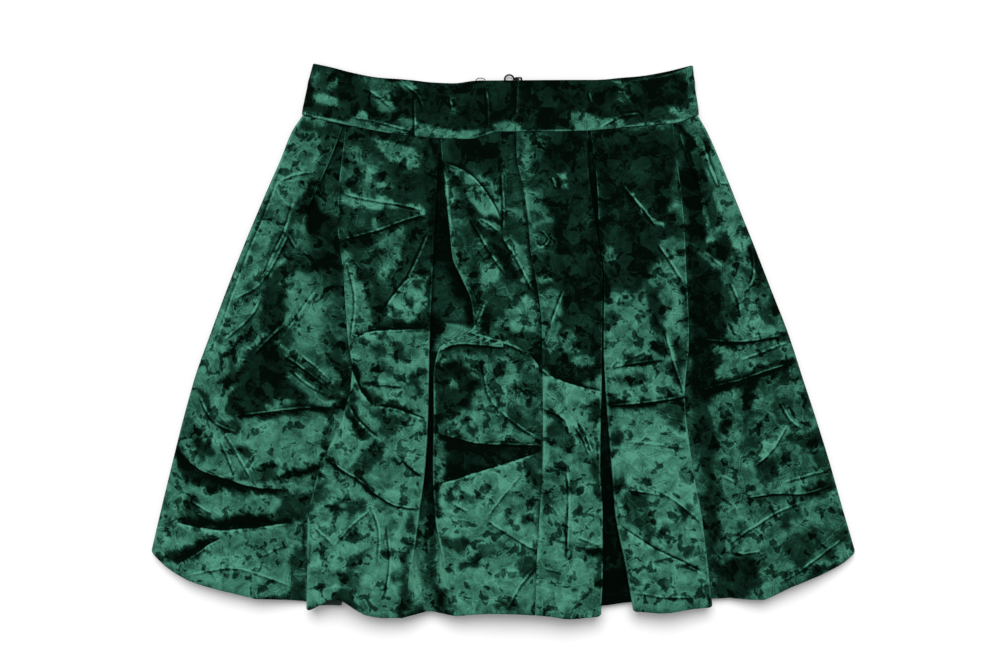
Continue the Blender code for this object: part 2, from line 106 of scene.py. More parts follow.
def smooth_curve(stations: Sequence[float], values: Sequence[float]) -> Curve:
    """Makes a curve through points that never overshoots between two of them.

    Args:
        stations: Where the values are given, rising.
        values: The value at each station.

    Returns:
        The curve, for one place or for an array of them.
    """
    x = np.asarray(stations, float)
    y = np.asarray(values, float)
    step = np.diff(x)
    rise = np.diff(y) / step
    slope = np.zeros_like(y)
    slope[0], slope[-1] = rise[0], rise[-1]
    for i in range(1, len(x) - 1):
        before, after = rise[i - 1], rise[i]
        if before * after > 0:
            one = 2 * step[i] + step[i - 1]
            two = step[i] + 2 * step[i - 1]
            slope[i] = (one + two) / (one / before + two / after)

    def at(value: Number) -> Number:
        """Reads the curve.

        Args:
            value: Where.

        Returns:
            Its value there.
        """
        value = np.clip(value, x[0], x[-1])
        i = np.clip(np.searchsorted(x, value, side="right") - 1, 0, len(x) - 2)
        width = step[i]
        t = (value - x[i]) / width
        t2, t3 = t * t, t * t * t
        start = (2 * t3 - 3 * t2 + 1) * y[i] + (t3 - 2 * t2 + t) * width * slope[i]
        end = (3 * t2 - 2 * t3) * y[i + 1] + (t3 - t2) * width * slope[i + 1]
        return start + end

    return at


def table(columns: Sequence[str], rows: Sequence[Row]) -> dict[str, Curve]:
    """Reads each named column of a table as a curve over its first column.

    Args:
        columns: The columns' names.
        rows: The table.

    Returns:
        A curve for each column after the first.
    """
    stations = [row[0] for row in rows]
    return {name: smooth_curve(stations, [row[i] for row in rows]) for i, name in enumerate(columns) if i}


# The rows of the next tables are set side by side
# fmt: off
# Side outline of the skirt
outline = table(("down", "left", "right"), (
    (0, -171.5, 163.8), (0.03, -179.1, 170.3), (0.1, -189.9, 181.9), (0.2, -206.1, 196.8), (0.3, -221.4, 211.7),
    (0.4, -235.7, 226), (0.5, -249.4, 240.3), (0.6, -262.5, 252.3), (0.7, -272.8, 264.4), (0.8, -282, 275.7),
    (0.9, -290.9, 286.2), (1, -299.4, 296.9),
))

# Waist seam, across from the left side (0) to the right side (1)
waist = table(("across", "y"), (
    (0, 190.8), (0.11, 182.8), (0.26, 173.8), (0.35, 171.3), (0.42, 170.6), (0.5, 177), (0.6, 177),
    (0.72, 177.8), (0.83, 181), (0.94, 184), (1, 190.8),
))

# Hem of the layer that shows
hem = table(("across", "y"), (
    (0, -183), (0.022, -194), (0.056, -202.5), (0.125, -213.5), (0.19, -222.5), (0.23, -227.5), (0.29, -228.5),
    (0.335, -232.5), (0.39, -232.5), (0.49, -228.5), (0.56, -230.5), (0.595, -233), (0.64, -231),
    (0.69, -227.5), (0.72, -228.3), (0.77, -225), (0.82, -223.5), (0.866, -218.5), (0.912, -206),
    (0.95, -197.5), (0.98, -191.5), (1, -183.5),
))

# Top edge of the waistband: the far (front) band and the near (back) band, across its own width
top = table(("across", "front_y", "back_y"), (
    (0, 235.9, 235.9), (0.05, 232.4, 232.4), (0.1, 228.2, 228.2), (0.17, 224, 224), (0.25, 222.7, 222),
    (0.31, 220.6, 217), (0.37, 219.8, 217.2), (0.43, 222, 221.4), (0.5, 222, 221.6), (0.7, 222.3, 222),
    (0.77, 223.1, 222), (0.81, 224.4, 218.9), (0.86, 225.7, 221.9), (0.93, 229.5, 226), (1, 235, 234),
))

# Waistband outline from its lower edge (0) to its top (1)
band = table(("up", "left", "right"), (
    (0, -171.5, 163.8), (0.25, -169.8, 162.9), (0.55, -167, 161), (1, -162.1, 159.2),
))

# Height of the back's faces: along the middle of the skirt and towards its sides
crown = table(("down", "middle", "side", "dome"), (
    (0, BACK_FACE_WAIST, BACK_FACE_WAIST, 0),
    (0.1, 10.8, 10.2, 0.4),
    (0.25, 12.8, 11.2, 1.2),
    (0.45, 15.6, 11.9, 2.2),
    (0.7, 18.4, 12.4, 3),
    (0.85, 19.8, 12.7, 3.3),
    (1, 20.8, 12.9, 3.5),
))

# Radii of the folds: at the side, at a pleat's edge and at its inner fold
radius = table(("down", "side", "edge", "inner", "front"), (
    (0, 2.5 * PITCH - SEAM_STRAIGHT, PITCH / 2, PITCH / 2, PITCH / 2),
    (0.1, 3.4, 1.15, 0.95, 0.87),
    (0.25, 3.3, 1.45, 1.15, 0.9),
    (0.5, 3.2, 2.1, 1.5, 0.94),
    (1, 3.2, 3, 2, 1),
))

# A fold that has opened grows rounder by this share of how far it has opened
OPEN_SOFT = 0.22

# The back's four inverted pleats, from left to right. The edges are the fold lines that show, the tucks
# are how far the inner folds reach in under the faces. A tuck below zero is a pleat that has opened into
# a valley. The bed is what lies between the two inner folds, and may rise off the layers below it.
BACK_PLEATS = (
    (
        (0, -137.5, -134, 18, 26, 0), (0.06, -146, -137, 15, 26, 0), (0.13, -157.5, -140, 8, 26, 0),
        (0.2, -169, -141, -3, 26, 0), (0.3, -176, -136, -14, 26, 0), (0.42, -181, -132.5, -30, 26, 0),
        (0.5, -184, -128.5, -40, 26, 0), (0.6, -188, -137, -38, 26, 0), (0.7, -194, -155, -27, 26, 0),
        (0.82, -199, -165.5, -23, 27, 0.2), (1, -203, -166.5, -25, 28, 0.4),
    ),
    (
        (0, -56.7, -53.7, 26, 26, 0), (0.08, -57.8, -51.5, 26, 26, 0), (0.18, -60, -46.5, 26, 26, 0),
        (0.25, -61, -43.5, 26, 26, 0), (0.29, -61.7, -36.5, 26, 24, 0), (0.35, -62.7, -27.5, 26, 20, 0),
        (0.4, -63.5, -25.5, 26, 18, 0), (0.44, -64, -55, 26, 26, 0), (0.5, -64.5, -59.5, 26, 28, 0),
        (0.6, -65.3, -59.5, 26, 28, 0.2), (0.7, -68, -60, 24, 26, 0.6), (0.79, -72.5, -58, 16, 16, 1.6),
        (0.89, -77.5, -51.5, -4, -4, 3.4), (1, -81.5, -45, -12, -12, 5.2),
    ),
    (
        (0, 70, 73.2, 26, 26, 0), (0.05, 69.3, 75.6, 26, 26, 0), (0.1, 71, 78.3, 26, 26, 0),
        (0.15, 73.5, 79.4, 26, 26, 0), (0.2, 76.5, 79.9, 26, 26, 0), (0.24, 79.2, 81.4, 26, 26, 0),
        (0.3, 82.2, 84.4, 26, 26, 0), (0.45, 81.6, 83.9, 26, 26, 0), (0.53, 81.2, 85.3, 26, 26, 0),
        (0.6, 80.5, 87.2, 26, 26, 0), (0.7, 80, 90.5, 26, 25, 0), (0.8, 82, 93.5, 25, 24, 0),
        (0.9, 82, 101.5, 24, 22, 0), (1, 80.5, 108.6, 24, 20, 0),
    ),
    (
        (0, 142, 145.6, 26, 9, 0), (0.08, 145.6, 156, 26, 7, 0), (0.13, 148.3, 164, 26, 4, 0),
        (0.19, 150.6, 170, 26, -4, 0), (0.3, 153, 178, 26, -8, 0), (0.44, 155.2, 185, 26, -13, 0),
        (0.56, 151.6, 190, 26, -17, 0), (0.7, 157.5, 196, 25, -19, 0), (0.82, 166, 203, 24, -19, 0.2),
        (1, 174.5, 213, 22, -17, 0.4),
    ),
)
back_pleats = [table(("down", "left", "right", "left_tuck", "right_tuck", "bed_rise"), rows) for rows in BACK_PLEATS]

# The front's four inverted pleats: middle of the pleat, width of its mouth and its tuck each way
FRONT_PLEATS = (
    ((0, -118, 3, 24), (0.5, -158, 7, 25), (1, -186, 15, 26)),
    ((0, -41, 3, 24), (0.5, -56, 5.5, 25), (1, -67, 12, 26)),
    ((0, 37, 3, 24), (0.5, 50, 6.5, 25), (1, 61, 14, 26)),
    ((0, 113, 3, 24), (0.5, 152, 6, 25), (1, 181, 13, 26)),
)
front_pleats = [table(("down", "middle", "mouth", "tuck"), rows) for rows in FRONT_PLEATS]

# Centre back seam, in the skirt and in the band
seam = table(("down", "x"), (
    (0, 9.5), (0.05, 10), (0.1, 14), (0.16, 18.5), (0.26, 22.5), (0.33, 28), (0.4, 31), (0.6, 32), (0.7, 31.5),
    (0.8, 29), (0.9, 26.5), (1, 25.5),
))
BAND_SEAM_LOW = 9.5
BAND_SEAM_TOP = 10.8
# fmt: on

# How finely the pleats are cut: steps round the four folds of each, and points in the run after each fold
BACK_STEPS = (8, 6, 6, 8)
BACK_RUNS = ((12, 8, 12, 40), (12, 10, 12, 36), (12, 9, 12, 42), (12, 10, 14, 44))
FRONT_STEPS = (5, 4, 4, 5)
FRONT_RUNS = (7, 10, 7, 26)
SIDE_STEPS = 8


class Pulley(NamedTuple):
    """A fold that the belt of cloth is led round, or an end of the belt where its radius is 0."""

    x: float
    z: float
    radius: float
    turn: int
    steps: int
    run: int
    dome: float


OVER = -1  # the cloth passes over the pulley
UNDER = 1


def mix(a: Number, b: Number, t: Number) -> Number:
    """Goes from a to b as t goes from 0 to 1."""
    return a + (b - a) * t


def smoothstep(t: Number) -> Number:
    """Eases from 0 to 1."""
    t = np.clip(t, 0.0, 1.0)
    return t * t * (3 - 2 * t)


def heading(a: Pulley, b: Pulley) -> float:
    """Finds the direction of the straight cloth between two pulleys.

    Args:
        a: The pulley it leaves.
        b: The pulley it comes to.

    Returns:
        The angle, upwards from +X.
    """
    dx, dz = b.x - a.x, b.z - a.z
    lean = (b.turn * b.radius - a.turn * a.radius) / math.hypot(dx, dz)
    return math.atan2(dz, dx) - math.asin(max(-1.0, min(1.0, lean)))


def on_pulley(p: Pulley, angle: float) -> Point:
    """Finds the point where the cloth on a pulley heads in the given direction."""
    return (p.x + p.turn * p.radius * math.sin(angle), p.z - p.turn * p.radius * math.cos(angle))


def sweep_between(p: Pulley, start: float, end: float) -> float:
    """Finds the angle turned on a pulley, in its own sense."""
    return ((((end - start) * p.turn) + 1.0) % (2 * math.pi) - 1.0) * p.turn


def belt(pulleys: Sequence[Pulley]) -> list[Point]:
    """Leads the cloth from pulley to pulley.

    Args:
        pulleys: The folds in order. One of no radius is an end or a seam.

    Returns:
        The points of the section, each x and z.
    """
    headings = [heading(a, b) for a, b in zip(pulleys, pulleys[1:])]
    arrive = headings[:1] + headings
    leave = headings + headings[-1:]
    points = []
    for i, p in enumerate(pulleys):
        sweep = sweep_between(p, arrive[i], leave[i])
        count = p.steps if p.radius > 0 else 0
        for k in range(count + 1):
            points.append(on_pulley(p, arrive[i] + sweep * (k / count if count else 0.0)))
        if i == len(pulleys) - 1:
            break
        x0, z0 = points[-1]
        x1, z1 = on_pulley(pulleys[i + 1], leave[i])
        for k in range(1, p.run + 1):
            t = k / (p.run + 1)
            points.append((mix(x0, x1, t), mix(z0, z1, t) + p.dome * math.sin(math.pi * t) ** 2))
    return points


def face_height(x: Number, down: float) -> Number:
    """Finds the height of the middle of the wall of the back's faces.

    Args:
        x: Where across.
        down: Share of the way from waist to hem.

    Returns:
        The height.
    """
    left, right = outline["left"](down), outline["right"](down)
    across = np.clip((x - left) / (right - left), 0.0, 1.0)
    return mix(crown["side"](down), crown["middle"](down), np.sin(math.pi * across))


def back_pleat(number: int, down: float, dome: float) -> list[Pulley]:
    """Lays the four folds of one inverted pleat of the back, from left to right.

    Args:
        number: Which pleat, from the left.
        down: Share of the way from waist to hem.
        dome: How far the face to the pleat's right bows up.

    Returns:
        The four pulleys.
    """
    pleat, runs = back_pleats[number], BACK_RUNS[number]
    left, right = pleat["left"](down), pleat["right"](down)
    left_tuck, right_tuck = pleat["left_tuck"](down), pleat["right_tuck"](down)
    bed = mix(BACK_BED_WAIST, BACK_BED_HEM, down) + pleat["bed_rise"](down)
    edge, inner = radius["edge"](down), radius["inner"](down)
    left_soft, right_soft = OPEN_SOFT * max(0.0, -left_tuck), OPEN_SOFT * max(0.0, -right_tuck)
    a, b, c, d = edge + left_soft, inner + left_soft, inner + right_soft, edge + right_soft
    return [
        Pulley(left - a, face_height(left, down) - a, a, OVER, BACK_STEPS[0], runs[0], 0.0),
        Pulley(left - left_tuck + b, bed + b, b, UNDER, BACK_STEPS[1], runs[1], 0.0),
        Pulley(right + right_tuck - c, bed + c, c, UNDER, BACK_STEPS[2], runs[2], 0.0),
        Pulley(right + d, face_height(right, down) - d, d, OVER, BACK_STEPS[3], runs[3], dome),
    ]


def front_pleat(number: int, down: float) -> list[Pulley]:
    """Lays the four folds of one inverted pleat of the front, whose faces lie on the floor.

    Args:
        number: Which pleat, from the left.
        down: Share of the way from waist to hem.

    Returns:
        The four pulleys.
    """
    pleat, steps, runs = front_pleats[number], FRONT_STEPS, FRONT_RUNS
    middle, half = pleat["middle"](down), pleat["mouth"](down) / 2
    r = radius["front"](down)
    bed = mix(FRONT_BED_WAIST, FRONT_BED_HEM, down)
    inner = pleat["tuck"](down) + half - r
    return [
        Pulley(middle - half - r, FLOOR_LAYER + r, r, UNDER, steps[0], runs[0], 0.0),
        Pulley(middle - inner, bed - r, r, OVER, steps[1], runs[1], 0.0),
        Pulley(middle + inner, bed - r, r, OVER, steps[2], runs[2], 0.0),
        Pulley(middle + half + r, FLOOR_LAYER + r, r, UNDER, steps[3], runs[3], 0.0),
    ]


def side_fold(x: float, low: float, r: float, side: str, turn: int, run: int, dome: float) -> list[Pulley]:
    """Lays half of the fold at one side, from its seam round to the back or the front.

    Args:
        x: The skirt's edge.
        low: Height of the wall that lies on the floor.
        r: Radius of the fold.
        side: Left or right.
        turn: OVER for the back, UNDER for the front.
        run: Points in the run after it.
        dome: How far that run bows up.

    Returns:
        The two pulleys, from left to right.
    """
    inward = 1 if side == "left" else -1
    seam_z = low + r + SEAM_STRAIGHT
    up = 1 if turn == OVER else -1
    edge = Pulley(x, seam_z + up * SEAM_GAP / 2, 0.0, turn, 0, 0, 0.0)
    fold = Pulley(x + inward * r, seam_z + up * SEAM_STRAIGHT, r, turn, SIDE_STEPS, run, dome)
    return [edge, fold] if side == "left" else [fold, edge]


def skirt_side(down: float, side: str, turn: int, run: int, dome: float) -> list[Pulley]:
    """Lays the skirt's fold at one side."""
    return side_fold(outline[side](down), FLOOR_LAYER, radius["side"](down), side, turn, run, dome)


def band_back_z(up: float) -> float:
    """Finds the height of the middle of the back band's wall."""
    return mix(BAND_BACK_LOW_Z, BAND_BACK_TOP_Z, up)


def band_side(up: float, side: str, turn: int, run: int) -> list[Pulley]:
    """Lays the band's fold at one side."""
    height = band_back_z(up) - BAND_FRONT_Z
    return side_fold(band[side](up), BAND_FRONT_Z, height / 2 - SEAM_STRAIGHT, side, turn, run, 0.0)


def seam_height(x: float, down: float) -> float:
    """Finds the height of the middle of the wall at the centre back seam."""
    return face_height(x, down) + 0.6 * crown["dome"](down)


def seam_end(down: float, side: int) -> Pulley:
    """Finds where a back half ends at the centre back seam."""
    x = seam["x"](down) + side * SEAM_GAP / 2
    return Pulley(x, seam_height(x, down), 0.0, OVER, 0, 34, 0.0)


def back_left_section(down: float) -> list[Point]:
    """Runs from the left side seam to the centre back seam.

    Args:
        down: Share of the way from waist to hem.

    Returns:
        The section's points.
    """
    dome = crown["dome"](down)
    folds = back_pleat(0, down, dome) + back_pleat(1, down, 0.4 * dome)
    return belt(skirt_side(down, "left", OVER, 42, dome) + folds + [seam_end(down, -1)])


def back_right_section(down: float) -> list[Point]:
    """Runs from the centre back seam to the right side seam.

    Args:
        down: Share of the way from waist to hem.

    Returns:
        The section's points.
    """
    dome = crown["dome"](down)
    folds = back_pleat(2, down, dome) + back_pleat(3, down, dome)
    first = seam_end(down, 1)._replace(dome=0.4 * dome)
    return belt([first] + folds + skirt_side(down, "right", OVER, 0, 0.0))


def front_section(down: float) -> list[Point]:
    """Runs from the left side seam along the floor to the right one.

    Args:
        down: Share of the way from waist to hem.

    Returns:
        The section's points.
    """
    folds = [fold for number in range(len(front_pleats)) for fold in front_pleat(number, down)]
    left, right = skirt_side(down, "left", UNDER, 26, 0.0), skirt_side(down, "right", UNDER, 0, 0.0)
    return belt(left + folds + right)


def band_seam_end(up: float, side: int) -> Pulley:
    """Finds where a back band ends at the centre back seam."""
    x = mix(BAND_SEAM_LOW, BAND_SEAM_TOP, up) + side * SEAM_GAP / 2
    return Pulley(x, band_back_z(up), 0.0, OVER, 0, 64, 0.0)


def band_left_section(up: float) -> list[Point]:
    """Runs from the left side seam to the centre back seam."""
    return belt(band_side(up, "left", OVER, 76) + [band_seam_end(up, -1)])


def band_right_section(up: float) -> list[Point]:
    """Runs from the centre back seam to the right side seam."""
    return belt([band_seam_end(up, 1)] + band_side(up, "right", OVER, 0))


def band_front_section(up: float) -> list[Point]:
    """Runs from the left side seam along the floor to the right one."""
    return belt(band_side(up, "left", UNDER, 110) + band_side(up, "right", UNDER, 0))

# ------------------------------------------------------------------------ nap with its painted light, and creases


class Patch(NamedTuple):
    """A patch of nap and painted light: tone from -1 (black: pile leaning away, or painted shade) to 1 (bright pile,
    or painted highlight), soft edge, outline in mm.
    """

    tone: float
    soft: float
    line: tuple[Point, ...]


class Fold(Enum):
    """How the cloth runs over a crease."""

    RIDGE = "ridge"
    TROUGH = "trough"
    LIP = "lip"  # a step, high on the left of the way it is drawn


RIDGE, TROUGH, LIP = Fold


class Crease(NamedTuple):
    """A crease: its kind, height, width and the width of the painted shade below it, and its line, in mm."""

    fold: Fold
    height: float
    width: float
    shade: float
    line: tuple[Point, ...]


def walked(steps: Sequence[float]) -> tuple[Point, ...]:
    """Walks from a starting point step by step: x and y of the start, then x and y of each step, mm."""
    return tuple(zip(np.cumsum(steps[::2]).tolist(), np.cumsum(steps[1::2]).tolist()))


def read_patches(*rows: tuple) -> list[Patch]:
    """Reads patches, each a tone, a soft edge and the walk round its outline."""
    return [Patch(tone, soft, walked(steps)) for tone, soft, *steps in rows]


def read_creases(*rows: tuple) -> list[Crease]:
    """Reads creases, each a kind, a height, a width, a shade and the walk along its line."""
    return [Crease(fold, height, width, shade, walked(steps)) for fold, height, width, shade, *steps in rows]


# The rows of the next tables are set close
# fmt: off
# Nap of the back, with painted sheen in its patches, painted shade in the pleats' gaps and along creases, and painted
# highlights along rims, painted one over the other
NAP_AND_PAINTED_LIGHT = read_patches(
    # Left panel
    (0.5,5.1,-191,195,55,-7,-3,-59,-3,-43,6,-42,4,-43,-8,-55,-15,-55,-10,-38,-3,-76,-134,-14,-12,68,59,204,30,73),
    (-0.6,3.4,-172,189,36,-2,-1,-13,-18,-2,-4,4,-15,2),
    (-0.35,3.4,-155,174,18,0,-2,-33,-20,-5,-5,3,11,15),
    (-0.95,2.5,-164,137,24,5,1,-74,-13,8,-9,10,-13,12,-7,11,7,11),
    (0.4,2.5,-162,129,20,13,3,-35,-10,0,-10,10),
    (0.2,2.5,-183,96,9,2,15,-12,2,-10,-17,0,-9,6),
    (-0.75,2.5,-183,74,30,5,14,-3,1,-37,-11,11,-8,12,-17,-3,-13,-5,-11,-19,-5,-25,-5,0,3,25,8,15),
    (0.6,1.7,-185,27,7,17,30,18,-7,-14,-15,-17,-11,-14),
    (0.65,2.5,-170,34,21,2,3,-25,-20,-3,-10,6),
    (-0.8,2.5,-205,56,20,-8,-1,-37,-15,-1,-5,13),
    (0.1,4.2,-206,59,1,-24,-1,-32,-35,-2,12,34),
    (-0.9,1.7,-184,16,-14,-8,-14,-14,-15,-15,-13,-12,-5,-7,11,2,11,2,-9,-10,-3,-11,8,-6,24,4,39,5,-7,14,-6,23,-12,10,
     -5,8),
    (0.35,1.3,-200,-53,6,2,17,0,-2,-3,-15,-3),
    (-0.55,2.5,-191,-7,10,-2,51,-39,-2,-7,-25,9,-17,15),
    (0.55,1.7,-182,-26,5,0,20,-17,17,-9,-13,0,-13,6,-10,6),
    (-1,1,-228,-61,28,3,34,3,28,3,6,-1,-8,-5,-15,-6,-22,-2,-24,-1,-22,1),
    (0.1,4.2,-276,-37,26,0,0,-55,-26,0),
    (-0.8,1.7,-262,-39,7,0,5,-11,0,-11,-5,3,-1,10),
    (0.65,2.5,-246,-68,63,4,31,4,8,-7,-10,-42,-20,-2,-17,-7,-26,-3,-21,8,-17,12,5,17),
    (-0.6,2.5,-224,-91,7,2,6,-5,-4,-5,-7,2),
    (-1,1.3,-278,-88,9,-11,14,-11,20,-6,22,-7,30,-2,5,-4,-30,-1,-30,4,-30,7,-10,11),
    (-1,0.8,-201,-117,15,5,14,6,17,4,0,-6,-16,-4,-12,-5),
    (0.75,1.7,-265,-123,27,-7,30,-4,16,2,0,-13,-46,-1,-23,4),
    (-0.6,3.4,-192,-130,32,4,-3,-27,-25,-2,-6,12),
    (-0.95,1.7,-281,-153,13,6,30,-1,32,1,19,-6,-19,-5,-32,-2,-25,3),
    (-0.5,3.4,-272,-129,10,-3,5,-13,-11,-2),
    (0.4,2.5,-292,-154,24,-3,33,-5,0,-5,-28,-6,-27,-3),
    (-1,1.3,-290,-178,20,4,30,10,2,-4,-23,-13,-17,-9,-9,5),
    (0.55,3.4,-234,-165,28,6,39,4,-1,-65,-49,5,-51,19,9,14),
    (-0.5,2.5,-183,-208,17,5,0,-15,-14,2),
    (-0.55,2.5,-201,89,25,3,2,-14,-17,-10,-9,5),
    (-0.5,2.5,-184,115,10,-2,2,-13,-11,-4),
    (-0.3,2.5,-222,42,11,-2,-2,-12,-9,0),
    (-0.45,2.5,-235,-9,10,10,14,6,-2,-8,-14,-15,-5,-10),
    (-0.75,1.7,-192,12,13,2,-1,-16,-10,-2),
    (-0.5,2.5,-155,10,8,-2,8,-15,-1,-16,-9,4),
    (-0.75,2.1,-242,-67,15,3,7,-10,-8,-6,-12,3),
    (-0.65,2.5,-262,-84,12,2,3,-15,-10,-5,-7,10),
    (-0.5,2.5,-222,-108,28,4,3,-9,-19,-7,-12,2),
    (-0.5,2.5,-286,-155,18,-4,-1,-8,-16,2),
    (0.9,1.7,-246,-134,35,-2,0,-10,-33,0),
    (-0.5,2.5,-181,-173,12,0,-2,-40,-10,2),
    (-0.5,1.7,-206,-211,39,-6,0,-6,-39,5),
    (-0.7,1.7,-142,-58,-5,-2,-13,-49,-10,-38,-2,-69,5,0,2,69,10,38),
    # Left box pleat
    (-0.6,3.4,-136,183,78,-3,0,-170,-74,-11,-4,45,-6,42,3,43),
    (0.65,2.5,-111,170,19,3,13,-7,9,-15,-7,-5,-14,2,-12,8),
    (0.1,3.4,-135,163,14,0,15,-12,13,-18,-3,-6,-27,0,-10,9),
    (0.85,2.5,-118,146,10,1,12,-15,-7,-5,-8,5),
    (-0.85,2.5,-72,163,8,0,2,-46,-27,0,-3,15,10,8,13,4),
    (0.75,1,-135,126,10,0,15,-4,18,-2,5,-5,-11,-4,-17,2,-6,6),
    (0.85,1,-82,116,10,-2,7,-5,-7,0),
    (0.7,1.3,-111,91,0,11,8,-2,2,-6),
    (-1,1.3,-139,86,9,2,20,0,-6,-8,-16,-2,-6,3),
    (0.1,3.4,-107,93,22,3,4,-10,-8,-27,-15,-2,-5,21),
    (0.4,2.5,-106,73,17,1,0,-15,-14,-3),
    (-0.55,3.4,-132,76,19,2,9,-22,1,-31,-16,-11,-9,21),
    (0.6,2.1,-137,73,7,-4,9,-20,6,-14,-3,-25,-12,-11,-6,36),
    (-0.6,2.1,-85,86,8,2,-9,-27,-10,-22,-7,-12,2,17),
    (0.7,1.3,-103,24,28,35,8,-4,2,-28,-16,-12),
    (-0.8,2.5,-86,32,5,7,6,-9,-7,-5),
    (0.3,3.4,-130,13,17,5,7,-9,-21,-9),
    (0.7,1.7,-94,81,10,0,-2,-15,-6,-4),
    (-0.55,2.5,-77,51,8,0,0,-9,-6,0),
    (-0.95,1.3,-100,17,19,-2,17,5,0,-10,-25,-1),
    (0.6,1.7,-132,-2,19,8,49,2,0,-160,-4,-85,-50,7,-18,5,-32,2,3,76,10,38,15,55),
    (-0.7,2.5,-112,-5,9,2,2,-12,-8,-2),
    (-0.7,1.7,-109,5,12,1,0,-7,-10,0),
    (-0.05,3.4,-85,5,19,0,0,-17,-14,-4),
    (-0.7,2.5,-94,-1,10,-2,2,-14,-9,0),
    (0.05,3.4,-116,-17,24,-2,1,-12,-22,-2),
    (-0.8,1,-118,-35,16,-3,18,2,0,-3,-18,-2,-15,2),
    (-0.5,1.7,-82,-30,6,0,1,-7,-6,-1),
    (-0.6,1.7,-76,-37,5,0,0,-6,-4,0),
    (-0.3,2.5,-118,-42,14,-1,0,-7,-8,-1),
    (-0.7,2.5,-142,-17,10,-4,6,-22,-6,-10,-6,10),
    (-1,1,-130,-16,5,-8,7,-16,10,-13,16,-1,13,-3,11,-4,0,-2,-11,3,-13,3,-19,3,-10,13,-7,13),
    (-0.8,1.3,-98,-51,9,1,5,-5,-14,1),
    (0.75,1.7,-126,-56,10,-1,23,-3,14,-5,13,-5,0,-7,-13,6,-14,9,-18,1,-5,-11,7,-8,-9,3),
    (-0.7,1.7,-137,-17,5,-4,6,-19,5,-8,-9,-3,-6,10),
    (-0.65,3.4,-111,-62,15,1,10,-3,-4,-10,-9,-9,-9,4),
    (-0.6,2.1,-126,-113,-4,9,22,20,12,2,-5,-12,-17,-19),
    (-1,0.8,-135,-57,5,-3,7,-8,12,-12,-7,-2,-12,14),
    (-1,1,-152,-97,9,-3,11,-9,-3,-3,-14,10),
    (-1,1,-124,-115,11,-6,8,-9,-4,-1,-9,6),
    (-0.95,1.3,-148,-141,12,6,11,-1,-5,-4,-10,-2),
    (-0.9,0.8,-86,-99,11,-10,-2,-2),
    (-0.8,2.5,-105,-174,11,1,5,-7,-9,-3,-6,2),
    (-0.75,3.4,-84,-169,9,2,-4,-15,-2,-21,7,-27,-13,-2,-2,34),
    (-0.6,2.5,-140,-195,19,2,0,-13,-17,-2),
    (-0.5,3.4,-137,-132,21,-3,-2,-12,-14,0),
    (-0.5,3.4,-161,-125,16,-1,-4,-12,-13,0),
    (-0.8,2.5,-139,-50,9,-1,5,-9,-7,-4,-7,5),
    (-0.85,1.7,-160,-222,16,9,19,7,5,-4,-12,-6,-6,-9),
    (-0.8,1.7,-143,-215,17,4,3,-12,-17,-4),
    (-0.6,1.7,-82,-145,7,1,0,-18,-6,-2),
    (-0.7,1.7,-89,-225,25,2,2,-10,-24,-2),
    (-0.6,1.7,-130,-182,9,6,3,-3,-12,-19,-6,-12,-2,6),
    (0.7,1.3,-139,125,9,-3,17,-4,21,-3,-12,-5,-17,3,-16,0),
    (-0.85,1.3,-139,85,18,3,5,-3,-16,-4,-3,-7,-5,2),
    # Middle, left of the seam
    (-0.55,3.4,-58,180,68,0,5,-34,7,-43,8,-68,4,-38,-30,0,-25,6,-36,5),
    (-0.95,1.7,-59,171,5,-17,5,-59,19,-60,4,-22,-39,-3,0,25,1,85),
    (-0.1,3.4,-64,68,13,0,9,-24,11,-29,-29,-2),
    (-0.9,2.5,-50,173,46,0,0,-31,-9,-8,-13,12,-19,8),
    (-0.35,2.5,-50,137,18,-22,16,-29,12,-20,0,-22,-17,-12,-12,17,-9,29,-5,30),
    (0.6,1.7,-28,136,17,1,9,-17,-2,-10,-12,10),
    (-0.65,1.7,-36,98,6,-5,14,-25,-2,-19,-6,-4,-6,23),
    (-0.9,1,-35,113,14,-5,17,-10,2,-10,10,-15,16,-29,1,-7,-10,5,-14,12,-5,13,-10,12,-12,19),
    (0.85,1,-34,142,10,-5,8,-12,11,-13,4,-9,-8,3,-12,5,-9,8,-4,10),
    (0.6,0.8,-22,105,8,-3,9,-8,-1,-3,-10,5),
    (0.6,0.7,-52,152,9,-4,11,-6,-1,-4,-12,8),
    (0.55,1,-52,149,5,-20,2,-34,5,-27,10,-24,7,-24,-5,0,-10,28,-8,23,-4,28),
    (0.5,2.5,-21,68,14,-2,1,-19,-10,-5,-5,10),
    (-0.35,2.5,1,147,10,2,4,-30,-14,-2),
    (0.35,2.5,1,116,14,0,1,-14,-13,0),
    (0.65,1,0,115,14,0,-10,-9),
    (0.4,1.3,-2,88,8,3,11,-10,4,-13,1,-24,-9,15),
    (-0.6,1.7,-23,45,19,7,22,-10,2,-7,-14,-2,-19,-1,-10,3),
    (0.6,2.5,3,30,18,4,9,-9,3,-22,-23,3,-9,14),
    (0,2.5,-14,22,17,6,3,-23,-19,1),
    (-0.6,2.5,-30,35,17,0,9,-17,-17,-7,-7,9),
    (0.6,0.8,-24,13,6,19,3,-2,-7,-19),
    (0.75,0.8,-60,-8,2,14,9,7,11,0,12,-4,3,-3,17,-5,13,-4,-25,3,-23,-2),
    (0.85,1,-35,28,4,2,8,-7,7,11,1,-4,-8,-22,-4,3,-3,11),
    (-0.9,2.5,-16,28,12,2,2,-12,-9,-5,-7,4),
    (0.1,3.4,-57,-9,27,6,34,-2,17,-9,10,-14,0,-59,-88,8),
    (-0.85,2.5,-60,-11,13,2,11,-10,8,-2,4,-22,-6,-14,-15,-5,-13,-13),
    (0.2,1.7,-47,-31,6,1,0,-9,-5,0),
    (0.3,1.7,-58,-11,17,2,0,-7,-14,-7),
    (0.6,1.7,-13,-21,12,0,0,-14,-10,-2),
    (-0.5,2.5,5,-14,10,-2,0,-13,-8,-2),
    (0.6,2.5,-36,-10,18,-1,5,-6,-17,-4),
    (0.4,3.4,-11,-16,21,-1,2,-16,-12,-25,-11,8),
